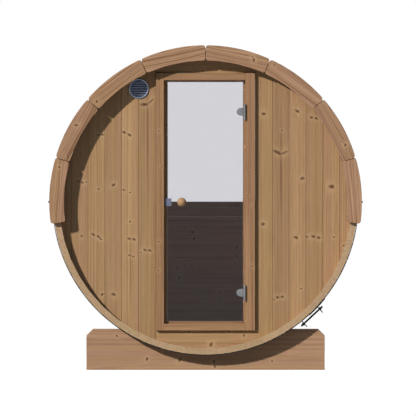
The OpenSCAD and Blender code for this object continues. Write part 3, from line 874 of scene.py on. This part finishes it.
# %% Fit the boards above and below the door
SHORT_KNOTS = {"top": [(-0.02, -0.04, 0.007)],
               "bottom": [(0.036, -0.033, 0.010), (0.253, 0.026, 0.007), (-0.11, 0.05, 0.006),
                          (0.155, 0.052, 0.006)]}
for name, sign in (("top", 1), ("bottom", -1)):
    cad = f"front_wall_{name}"
    flat = low(cad).z if sign > 0 else high(cad).z
    bm = round_blank(blank_r, wall_front, wall_back, segments=STAVES)
    for x, away in ((low(cad).x, -1), (high(cad).x, 1)):
        saw(bm, X, x, away)
    saw(bm, Z, flat, -sign)
    v_joints(bm, wall_front, Z, flat)
    where = placing((1, 0, 0), (0, 0, 1),
                    Vector((0, (wall_front + wall_back) / 2, middle(cad).z)))
    mark_grain(bm, where, SHORT_KNOTS[name])
    build(f"front_board_{name}", [bm], wall_wood, "cabin", "wall_wood", cad)

# %% [markdown]
# ## Door frame
#
# Two posts run the full height, with a head and a sill between them. The posts are rebated: an
# L-shaped section, drawn as six points and extruded, gives the face and the stop behind the glass
# in one piece of wood. The head and the sill have the same step, made as a face board with a
# narrower stop planted behind it.

# %% Join the door posts
STOP_DEPTH = 0.037
post_low, post_high = low("door_frame_left"), high("door_frame_left")
stop_y = post_low.y + STOP_DEPTH
jamb_left, jamb_right = post_low.x + 0.052, high("door_frame_right").x - 0.065
head_z, sill_z = high("door_frame_top").z - 0.047, low("door_frame_bottom").z + 0.045


def section(points, to):
    """A flat outline through a few points, extruded to a solid."""
    bm = bmesh.new()
    face = bm.faces.new([bm.verts.new(p) for p in points])
    grown = bmesh.ops.extrude_face_region(bm, geom=[face])
    moved = [g for g in grown["geom"] if isinstance(g, bmesh.types.BMVert)]
    bmesh.ops.translate(bm, vec=to, verts=moved)
    bmesh.ops.recalc_face_normals(bm, faces=bm.faces)
    return bm


def post(outer_x, jamb_x, stop_x):
    outline = [(outer_x, post_low.y), (jamb_x, post_low.y), (jamb_x, stop_y), (stop_x, stop_y),
               (stop_x, post_high.y), (outer_x, post_high.y)]
    return section([(x, y, post_low.z) for x, y in outline],
                   (0, 0, post_high.z - post_low.z))


def finish_post(bm, x0, x1, knots):
    ease(bm, 0.002)
    centre = Vector(((x0 + x1) / 2, (post_low.y + stop_y) / 2, axis_z))
    return mark_grain(bm, placing((0, 0, 1), (-1, 0, 0), centre), knots, 0.06)


strike_low, strike_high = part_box("latch_strike")
left_post = post(post_low.x, jamb_left, high("door_frame_left").x)
recess = plank(*(strike_high - strike_low + Vector((2, 2, 2)) * FIT))
combine(left_post, move(recess, (strike_low + strike_high) / 2))
finish_post(left_post, post_low.x, jamb_left,
            [(0.47, 0.008, 0.005), (0.235, -0.012, 0.004), (-0.26, 0.006, 0.005),
             (-0.45, 0.01, 0.005)])
right_post = post(high("door_frame_right").x, jamb_right, low("door_frame_right").x)
finish_post(right_post, jamb_right, high("door_frame_right").x,
            [(0.20, 0.014, 0.005), (0.045, 0.016, 0.005), (-0.02, 0.0, 0.004),
             (-0.42, -0.01, 0.006)])
build("door_post_left", [left_post], frame_wood, "cabin", "frame_wood", "door_frame_left")
build("door_post_right", [right_post], frame_wood, "cabin", "frame_wood", "door_frame_right")

# %% Add the head and the sill


def level_board(low_corner, high_corner, knots=()):
    """A plank along X between two corners."""
    size, centre = high_corner - low_corner, (low_corner + high_corner) / 2
    where = placing((1, 0, 0), (0, 0, 1), centre)
    bm = ease(plank(size.x, size.z, size.y), 0.002)
    return mark_grain(lay(bm, where), where, knots, 0.06)


def corners(x0, x1, y0, y1, z0, z1):
    return Vector((x0, y0, z0)), Vector((x1, y1, z1))


for name, face, stop in (
    ("top", (head_z, high("door_frame_top").z), (low("door_frame_top").z, high("door_frame_top").z)),
    ("bottom", (low("door_frame_bottom").z, sill_z),
     (low("door_frame_bottom").z, high("door_frame_bottom").z)),
):
    boards = [
        level_board(*corners(jamb_left + FIT, jamb_right - FIT, post_low.y, stop_y - 1e-4, *face),
                    some_knots(0.5, 0.04, 1.0, 0.005)),
        level_board(*corners(high("door_frame_left").x + FIT, low("door_frame_right").x - FIT,
                             stop_y, post_high.y, *stop)),
    ]
    build(f"door_{'head' if name == 'top' else 'sill'}", boards, frame_wood, "cabin",
          "frame_wood", f"door_frame_{name}")

# %% [markdown]
# ## Rear end
#
# The rear wall is half timber, half window. Level boards fill the lower part, a rail closes them
# off at the height of the axis, and six curved pieces frame a half-moon of glass. The glass sits
# in a groove. In the curved pieces a copy of the pane that is a hair larger cuts it, and in the
# rail a straight block. The rail's top stays a hair low, clear of the round blank's corners.

# %% Build the rear wall and its rail
rear_front, rear_back = low("rear_wall_lower").y, high("rear_wall_lower").y
rear_middle, wall_foot = (rear_front + rear_back) / 2, axis_z - wall_r
pane_low, pane_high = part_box("rear_window_glass")
HAIR = 0.00002


def window_pane(grow):
    bm = round_blank(pane_high.x + grow, pane_low.y - grow, pane_high.y + grow)
    return saw(bm, Z, pane_low.z - grow, -1)


REAR_KNOTS = (
    (-0.085, -0.205, 0.009), (-0.075, -0.245, 0.008), (0.175, -0.13, 0.005),
    (0.205, -0.30, 0.008), (0.205, -0.36, 0.007), (-0.185, -0.435, 0.009),
    (-0.175, -0.50, 0.008), (-0.09, -0.425, 0.008), (0.095, -0.60, 0.007),
    (0.10, -0.66, 0.006), (0.52, -0.30, 0.009), (-0.60, -0.52, 0.009),
)
boards = []
top = high("rear_wall_lower").z
while top > wall_foot + 0.01:
    bottom = top - BOARD_W
    if bottom < wall_foot + 0.03:
        bottom = wall_foot - 0.01
    bm = round_blank(blank_r, rear_front, rear_back, segments=STAVES)
    for z, away in ((top, 1), (bottom, -1)):
        if z > wall_foot:
            saw(bm, Z, z, away)
            v_joints(bm, rear_front, Z, z, 0.0012)
            v_joints(bm, rear_back, Z, z)
    centre = Vector((0, rear_middle, (top + bottom) / 2))
    knots = [(x, z + axis_z - centre.z, s) for x, z, s in REAR_KNOTS
             if bottom < z + axis_z < top]
    boards.append(mark_grain(bm, placing((1, 0, 0), (0, 0, 1), centre), knots))
    top = bottom
build("rear_boards", boards, rear_wood_shade_tint, "cabin", "wall_wood", "rear_wall_lower")

rail = round_blank(blank_r, rear_front, rear_back, segments=STAVES)
rail_top, rail_bottom = high("rear_window_rail").z - HAIR, low("rear_window_rail").z
saw(rail, Z, rail_top, 1)
saw(rail, Z, rail_bottom, -1)
for y in (rear_front, rear_back):
    for z in (rail_top, rail_bottom):
        v_joints(rail, y, Z, z, 0.0015)
groove = pane_high - pane_low + 2 * Vector((FIT, FIT, 0))
groove.z = 2 * (axis_z - pane_low.z + FIT)
combine(rail, move(plank(*groove), (0, (pane_low.y + pane_high.y) / 2, axis_z)))
mark_grain(rail, placing((1, 0, 0), (0, 0, 1), middle("rear_window_rail")),
           some_knots(1.6, 0.09, 1.5))
build("window_rail", [rail], wall_wood, "cabin", "frame_wood", "rear_window_rail")

# %% Frame and glaze the window
ARCS = 6
window_r = pane_high.x - 0.010
frame_arcs = []
for number in range(ARCS):
    gap = math.degrees(0.0002 / window_r)
    start = 90 + number * 180 / ARCS + gap
    end = 90 + (number + 1) * 180 / ARCS - gap
    bm = arc(window_r, wall_r, rear_front, rear_back, start, end, 20)
    if number in (0, ARCS - 1):
        saw(bm, Z, axis_z + FIT, -1)
    ease(bm, 0.0025, 2)
    combine(bm, window_pane(FIT))
    outward = radial((start + end) / 2)
    centre = axis + outward * (window_r + wall_r) / 2 + Vector((0, rear_middle, 0))
    frame_arcs.append(mark_grain(
        bm, placing(outward.cross(Vector((0, 1, 0))), outward, centre), some_knots(0.45, 0.08, 1)))
build("window_arcs", frame_arcs, frame_wood, "cabin", "frame_wood", "rear_window_frame")
build("window_pane", [ease(window_pane(0), 0.0008, 2)], tinted_glass, "cabin", "tinted_glass",
      "rear_window_glass", smooth=20).visible_diffuse = False

# %% [markdown]
# ## Floor and bearers
#
# Duckboards run the length of the cabin with drainage gaps between them. They lie on four cross
# pieces cut to the barrel's curve, which are once more sawn from a round blank.

# %% Lay the duckboards
FLOOR_BOARD_W, FLOOR_GAP = 0.106, 0.008
deck_low, deck_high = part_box("floor_boards")
boards = []
for number in range(8):
    x0 = deck_low.x + number * (FLOOR_BOARD_W + FLOOR_GAP)
    size = Vector((deck_high.y - deck_low.y, FLOOR_BOARD_W, deck_high.z - deck_low.z))
    where = placing((0, 1, 0), (-1, 0, 0), Vector((x0 + FLOOR_BOARD_W / 2, 0,
                                                   (deck_low.z + deck_high.z) / 2)))
    boards.append(mark_grain(lay(ease(plank(*size), 0.003), where), where,
                             some_knots(1.5, 0.1)))
build("duckboards", boards, floor_wood, "cabin", "floor_wood", "floor_boards")

BEARER_T = 0.045
bearer_low, bearer_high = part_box("floor_bearers")
spacing = (bearer_high.y - bearer_low.y - BEARER_T) / 3
boards = []
for number in range(4):
    y0 = bearer_low.y + number * spacing
    bm = round_blank(wall_r, y0, y0 + BEARER_T)
    saw(bm, Z, bearer_high.z, 1)
    for x, away in ((bearer_low.x, -1), (bearer_high.x, 1)):
        saw(bm, X, x, away)
    ease(bm, 0.002, 1)
    centre = Vector((0, y0 + BEARER_T / 2, (bearer_low.z + bearer_high.z) / 2))
    boards.append(mark_grain(bm, placing((1, 0, 0), (0, 0, 1), centre), some_knots(0.8, 0.1)))
build("bearers", boards, floor_wood, "cabin", "floor_wood", "floor_bearers")

# %% [markdown]
# ## Cradles
#
# The barrel lies in two heavy planks on edge. Both top corners are cut off, and the seat is cut
# to the barrel's own radius, so the weight rests on a wide surface. A cube, one bevel and one
# Boolean make it, and a small bevel afterwards eases what the saw left.

# %% Cut the cradles
CUT_CORNER = 0.044
for name, knots in (
    ("front", [(-0.386, -0.061, 0.008), (-0.168, -0.067, 0.010), (0.058, -0.094, -0.008),
               (0.438, -0.075, 0.006), (-0.585, 0.09, 0.006)]),
    ("rear", some_knots(1.4, 0.2)),
):
    cad = f"cradle_{name}"
    size, centre = high(cad) - low(cad), middle(cad)
    bm = plank(size.x, size.z, size.y)
    tops = [e for e in bm.edges if all(v.co.y > 0 for v in e.verts)
            and abs(e.verts[0].co.z - e.verts[1].co.z) > 0.01]
    ease(bm, CUT_CORNER, 1, tops)
    where = placing((1, 0, 0), (0, 0, 1), centre)
    lay(bm, where)
    combine(bm, round_blank(barrel_r + FIT, low(cad).y - 0.01, high(cad).y + 0.01,
                            segments=360))
    ease(bm, 0.003, 2, sharp_edges(bm, 25))
    mark_grain(bm, where, knots, 0.25)
    build(f"cradle_plank_{name}", [bm], cradle_wood, "cabin", "cradle_wood", cad)

# %% [markdown]
# ## Door
#
# The door is one pane of tinted glass without a frame. Its edges are ground, and it has three
# holes: one for the knob's bolt and two for the hinges.

# %% Cut the door's glass
leaf_low, leaf_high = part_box("door_glass")
knob_at = middle("knob_outside")
hinge_pieces = [middle("upper_hinge_leaf"), middle("lower_hinge_leaf")]
CLAMP_IN = 0.0335
clamp_x = jamb_right - CLAMP_IN
door_pane = plank(*(leaf_high - leaf_low))
move(door_pane, (leaf_low + leaf_high) / 2)
for x, z in [(knob_at.x, axis_z)] + [(clamp_x, p.z) for p in hinge_pieces]:
    hole = round_blank(0.006, leaf_low.y - 0.01, leaf_high.y + 0.01, Vector((x, 0, z)), 32)
    combine(door_pane, hole)
build("door_pane", [ease(door_pane, 0.0008, 2)], tinted_glass, "door", "tinted_glass",
      "door_glass", smooth=20).visible_diffuse = False

# %% [markdown]
# The knob is a turned ball on a short neck, one on each side of the pane. Turning is what spin
# does: a few points make the outline of the ball and neck, and the outline is spun round the
# knob's own axis. Its grain runs along that axis, so the ball shows rings at the front.

# %% Turn the knobs
BALL_R, NECK_R, NECK = 0.030, 0.013, 0.009


def turned(outline, at, outward, steps=48):
    """A closed solid of revolution. The outline is (radius, distance) pairs along its axis."""
    bm = bmesh.new()
    points = [bm.verts.new((r, 0, d)) for r, d in outline]
    wire = [bm.edges.new(pair) for pair in zip(points, points[1:])]
    bmesh.ops.spin(bm, geom=points + wire, cent=(0, 0, 0), axis=(0, 0, 1), angle=math.tau,
                   steps=steps, use_merge=True)
    bmesh.ops.remove_doubles(bm, verts=bm.verts, dist=1e-6)
    bmesh.ops.recalc_face_normals(bm, faces=bm.faces)
    across = (1, 0, 0) if abs(Vector(outward).x) < 0.5 else (0, 1, 0)
    side = Vector(outward).cross(Vector(across))
    return lay(bm, placing(across, side, at))


def knob(face_y, outward):
    ball = NECK + math.sqrt(BALL_R**2 - NECK_R**2)
    start = math.asin(NECK_R / BALL_R)
    outline = [(0, 0), (NECK_R - 0.001, 0), (NECK_R, 0.001), (NECK_R, NECK - 0.001)]
    steps = 22
    for i in range(steps + 1):
        a = start + (math.pi - start) * i / steps
        outline.append((BALL_R * math.sin(a), ball - BALL_R * math.cos(a)))
    outline[-1] = (0, ball + BALL_R)
    at = Vector((knob_at.x, face_y, axis_z))
    bm = turned(outline, at, (0, outward, 0))
    return mark_grain(bm, placing((0, outward, 0), (1, 0, 0), at), (), 0.01)


build("knob_front", [knob(leaf_low.y - FIT, -1)], knob_wood, "door", "knob_wood",
      "knob_outside", smooth=45)
build("knob_back", [knob(leaf_high.y + FIT, 1)], knob_wood, "door", "knob_wood",
      "knob_inside", smooth=45)

# %% [markdown]
# ## Hinges and catch
#
# Each hinge clamps the glass between two round plates and turns on a pin beside the post. The
# moving half is the clamps, their bolt, an arm and the middle knuckle; the fixed half is a plate
# on the post with the outer knuckles and the pin. Parts that are one casting are joined with a
# Boolean, so no face is left inside. Each part is set a hair inside its neighbour, because a
# Boolean can leave doubled faces where two faces lie in one plane.

# %% Make the moving halves of the hinges
CLAMP_R, CLAMP_T, CLAMP_BACK_T = 0.024, 0.010, 0.005
SINK = 0.00007
KNUCKLE_R, PIN_R, HALF_H = 0.007, 0.003, 0.026


def paint(bm, number):
    """Gives every face one of the piece's finishes, counted from 0."""
    for face in bm.faces:
        face.material_index = number


def box_part(low_corner, high_corner, easing=0.0006):
    bm = plank(*(high_corner - low_corner))
    move(bm, (low_corner + high_corner) / 2)
    return ease(bm, easing, 2) if easing else bm


def rod(at, length, radius, direction=(0, 0, 1), easing=0.0006, steps=32):
    """A bar from a point along a direction, with both ends eased."""
    outline = [(0, 0), (radius - easing, 0), (radius, easing), (radius, length - easing),
               (radius - easing, length), (0, length)]
    return turned(outline, at, direction, steps)


def hinge_leaf(cad):
    box_low, box_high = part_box(cad)
    pin = Vector((box_high.x - KNUCKLE_R, box_low.y + KNUCKLE_R, 0))
    mid_z = (box_low.z + box_high.z) / 2
    arm_x = pin.x - 0.004
    face_y = leaf_low.y - FIT
    clamp = round_blank(CLAMP_R, face_y - CLAMP_T, face_y, Vector((clamp_x, 0, mid_z)), 64)
    saw(clamp, X, arm_x - 0.001, 1)
    ease(clamp, 0.0015, 3, sharp_edges(clamp, 50))
    combine(clamp, box_part(*corners(clamp_x + 0.001, arm_x, face_y - CLAMP_T + SINK,
                                     face_y - SINK, mid_z - HALF_H, mid_z + HALF_H), 0.0012),
            "UNION")
    combine(clamp, box_part(*corners(arm_x - 0.006, arm_x - 0.0003, pin.y, face_y - 0.002,
                                     mid_z - HALF_H + SINK, mid_z + HALF_H - SINK), 0.0004),
            "UNION")
    combine(clamp, rod(Vector((pin.x, pin.y, mid_z - HALF_H)), 2 * HALF_H, KNUCKLE_R), "UNION")
    back = round_blank(CLAMP_R, leaf_high.y + FIT, leaf_high.y + FIT + CLAMP_BACK_T,
                       Vector((clamp_x, 0, mid_z)), 64)
    saw(back, X, box_low.x + 0.0365, 1)
    ease(back, 0.001, 2, sharp_edges(back, 50))
    combine(clamp, rod(Vector((pin.x, pin.y, mid_z - HALF_H - 0.001)), 2 * HALF_H + 0.002,
                       PIN_R + 0.00005, easing=0.00001))
    bolt = rod(Vector((clamp_x, face_y, mid_z)), leaf_high.y - leaf_low.y + 2 * FIT, 0.005,
               (0, 1, 0))
    return [clamp, back, bolt]


for name in ("upper", "lower"):
    build(f"{name}_clamp", hinge_leaf(f"{name}_hinge_leaf"), hinge_steel, "door", "hinge_steel",
          f"{name}_hinge_leaf", smooth=32)

# %% Make the fixed halves of the hinges


def hinge_plate(cad):
    box_low, box_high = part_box(cad)
    pin = Vector((box_low.x + KNUCKLE_R, box_low.y + KNUCKLE_R, 0))
    plate_x1 = jamb_right - FIT
    plate_x0 = plate_x1 - 0.002
    mid_z = (box_low.z + box_high.z) / 2
    parts = box_part(*corners(plate_x0, plate_x1, post_low.y, stop_y - FIT, box_low.z,
                              box_high.z), 0.0004)
    for z0, z1 in ((box_low.z, mid_z - 0.027), (mid_z + 0.027, box_high.z)):
        combine(parts, box_part(*corners(plate_x0 + SINK, plate_x1 - SINK, pin.y,
                                         post_low.y + 0.001, z0 + SINK, z1 - SINK), 0.0003),
                "UNION")
        combine(parts, rod(Vector((pin.x, pin.y, z0)), z1 - z0, KNUCKLE_R), "UNION")
    combine(parts, rod(Vector((pin.x, pin.y, box_low.z + 0.0002)),
                       box_high.z - box_low.z - 0.0004, PIN_R), "UNION")
    return [parts]


for name in ("upper", "lower"):
    build(f"{name}_plate", hinge_plate(f"{name}_hinge_frame"), hinge_steel, "cabin",
          "hinge_steel", f"{name}_hinge_frame", smooth=32)

# %% Make the catch and its strike
plate_low, plate_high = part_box("latch_plate")
catch = box_part(*corners(plate_low.x, plate_high.x, plate_low.y, leaf_low.y - FIT,
                          plate_low.z, plate_high.z), 0)
fold = box_part(*corners(plate_low.x, leaf_low.x - FIT, leaf_low.y - FIT - 0.002, plate_high.y,
                         plate_low.z, plate_high.z), 0)
combine(catch, fold, "UNION")
ease(catch, 0.0012, 3, sharp_edges(catch, 50))
build("catch_plate", [catch], catch_metal, "door", "catch_metal", "latch_plate", smooth=32)

# The strike's darker steel is painted shade for the jamb's shadow over it.
strike = box_part(strike_low, strike_high, 0.0005)
for z in (-0.016, 0.016):
    sink = rod(Vector(((strike_low.x + strike_high.x) / 2, strike_low.y - 0.001, axis_z + z)),
               0.003, 0.0028, (0, 1, 0), 0.001, 20)
    combine(strike, sink)
build("strike_plate", [strike], strike_steel_painted_shade, "cabin", "hinge_steel", "latch_strike", smooth=32)

# %% [markdown]
# ## Vent
#
# A round enamelled grille closes the air duct beside the door. The rim is a turned ring, and each
# louvre is a thin blade, tilted so that rain runs off it, whose ends are trimmed to the ring with a
# Boolean that keeps only what the round opening holds. The louvres have a lighter enamel than the
# rim, as painted light on the blades. A dark insect screen closes the back, and its dark colour is
# also painted shade for the shaded duct behind the louvres.

# %% Assemble the vent
VENT_R, VENT_RIM, LOUVRES, LOUVRE_TILT = 0.0655, 0.008, 9, math.radians(35)
vent_low, vent_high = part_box("vent_grille")
vent_at = (vent_low + vent_high) / 2
vent_t = vent_high.y - vent_low.y
rim_r = VENT_R - VENT_RIM
outline = [(rim_r, 0), (VENT_R, 0), (VENT_R, vent_t - 0.0025), (VENT_R - 0.0007, vent_t - 0.001),
           (VENT_R - 0.0025, vent_t), (rim_r + 0.002, vent_t), (rim_r + 0.0006, vent_t - 0.0006),
           (rim_r, vent_t - 0.002), (rim_r, 0)]
ring = turned(outline, Vector((vent_at.x, vent_high.y, vent_at.z)), (0, -1, 0), 72)
blades = []
pitch = 2 * rim_r / (LOUVRES + 1)
for number in range(1, LOUVRES + 1):
    blade = ease(plank(2 * rim_r + 0.002, vent_t, 0.0016), 0.0004, 2)
    lay(blade, Matrix.Rotation(LOUVRE_TILT, 4, "X"))
    move(blade, (vent_at.x, vent_at.y, vent_at.z - rim_r + number * pitch))
    combine(blade, round_blank(rim_r + 0.001, vent_low.y + 0.001, vent_high.y, vent_at, 72),
            "INTERSECT")
    blades.append(blade)
screen = round_blank(rim_r + 0.001, vent_high.y - 0.0008, vent_high.y, vent_at, 72)
for number, part in enumerate(blades + [screen]):
    paint(part, 1 if number < len(blades) else 2)
build("vent_louvres", [ring, screen] + blades, [vent_enamel, louvre_enamel_painted_light, screen_and_painted_shade], "cabin",
      "vent_enamel", "vent_grille", smooth=35)

# %% [markdown]
# ## Bands
#
# Three flat steel bands hold the staves together. Each is a strap spun once round the axis, with
# a foot plate and two lugs where the tensioning rod pulls it tight, and on either side a pair of
# lugs that a bolt draws together.

# %% Bend the bands
LUG_T, LUG_SPREAD, SCREW_ANGLE, ROD_OUT, BAND_T = 0.004, 0.139, 42.9, 0.023, 0.004
band_in = barrel_r + FIT
band_out = band_in + BAND_T
side_out = high("band_middle").x


def lug(turn, x, y0, y1, r_out, thick=LUG_T):
    """A flat lug that stands on the strap at an angle, moved x along the strap."""
    outward = radial(turn)
    foot = math.sqrt((band_in + BAND_T / 2) ** 2 - x * x)
    bm = ease(plank(r_out - foot, y1 - y0, thick), 0.0008, 1)
    sideways = outward.cross(Vector((0, -1, 0)))
    at = axis + outward * (foot + r_out) / 2 + sideways * x + Vector((0, (y0 + y1) / 2, 0))
    return lay(bm, placing(outward, (0, 1, 0), at))


def hex_solid(at, direction, corner_r, height):
    """A hexagon nut or bolt head with eased edges."""
    bm = bmesh.new()
    bmesh.ops.create_cone(bm, cap_ends=True, segments=6, radius1=corner_r, radius2=corner_r,
                          depth=height)
    bmesh.ops.translate(bm, vec=(0, 0, height / 2), verts=bm.verts)
    ease(bm, 0.0008, 2)
    side = Vector(direction).orthogonal().normalized()
    return lay(bm, placing(side, Vector(direction).cross(side), at))


def band(cad):
    y0, y1 = low(cad).y, high(cad).y
    mid = Vector((0, (y0 + y1) / 2, 0))
    strap = arc(band_in, band_out, y0, y1, 0, 360, 180)
    ease(strap, 0.0008, 1, sharp_edges(strap, 60))
    foot = arc(band_in + BAND_T / 2, band_out + 0.004, y0 + 0.0005, y1 - 0.0005,
               SCREW_ANGLE - 0.4, SCREW_ANGLE + 8.1, 6)
    combine(strap, ease(foot, 0.0008, 1), "UNION")
    out = radial(SCREW_ANGLE)
    along = out.cross(Vector((0, -1, 0)))
    rod_mid = axis + out * (barrel_r + ROD_OUT) + mid
    for x in (-LUG_SPREAD / 2, LUG_SPREAD / 2):
        ear = lug(SCREW_ANGLE, x, y0 + 0.001, y1 - 0.001, barrel_r + 0.053)
        combine(ear, rod(rod_mid + along * (x - 0.01), 0.02, 0.0056, along, 0.0001))
        combine(strap, ear, "UNION")
    bolts = []
    for turn in (90, 270):
        outward = radial(turn)
        for x in (-0.00205, 0.00205):
            combine(strap, lug(turn, x, y0 + 0.001, y1 - 0.001, side_out, 0.0039), "UNION")
        at = axis + outward * (band_out + 0.013) + mid
        up = outward.cross(Vector((0, -1, 0)))
        bolts += [hex_solid(at + up * 0.0042, up, 0.0065, 0.005),
                  hex_solid(at - up * 0.0042, -up, 0.0065, 0.005),
                  rod(at + up * 0.0085, 0.006, 0.003, up, steps=16)]
    return strap, bolts


for place_name in ("front", "middle", "rear"):
    cad = f"band_{place_name}"
    strap, bolts = band(cad)
    for bolt in bolts:
        paint(bolt, 1)
    build(f"strap_{place_name}", [strap] + bolts, [band_steel, nut_zinc], "cabin", "band_steel",
          cad, smooth=30)

# %% [markdown]
# The tensioner is a threaded rod through the two screw lugs, with a nut outside each. A real
# helix costs thousands of faces for something a few millimetres across, so the thread is turned
# as fine grooves: one zigzag outline, spun round the rod.

# %% Turn the tensioners
PITCH, ROD_R = 0.002, 0.005


def tensioner(cad):
    centre = middle(cad)
    out = radial(SCREW_ANGLE)
    along = out.cross(Vector((0, -1, 0)))
    rod_mid = axis + out * (barrel_r + ROD_OUT) + Vector((0, centre.y, 0))
    half = 0.095
    outline = [(0, 0), (ROD_R - 0.0012, 0)]
    turns = int(2 * half / PITCH) - 1
    for i in range(turns):
        outline += [(ROD_R, PITCH * (i + 0.6)), (ROD_R - 0.0008, PITCH * (i + 1.1))]
    outline += [(ROD_R - 0.0012, 2 * half), (0, 2 * half)]
    thread = turned(outline, rod_mid - along * half, along, 16)
    nut_at = LUG_SPREAD / 2 + LUG_T / 2 + FIT
    nuts = [hex_solid(rod_mid + along * s * nut_at, along * s, 0.009, 0.009) for s in (-1, 1)]
    return [thread] + nuts


for place_name in ("front", "middle", "rear"):
    cad = f"tensioner_{place_name}"
    build(f"rod_{place_name}", tensioner(cad), rod_steel, "cabin", "rod_steel", cad, smooth=30)
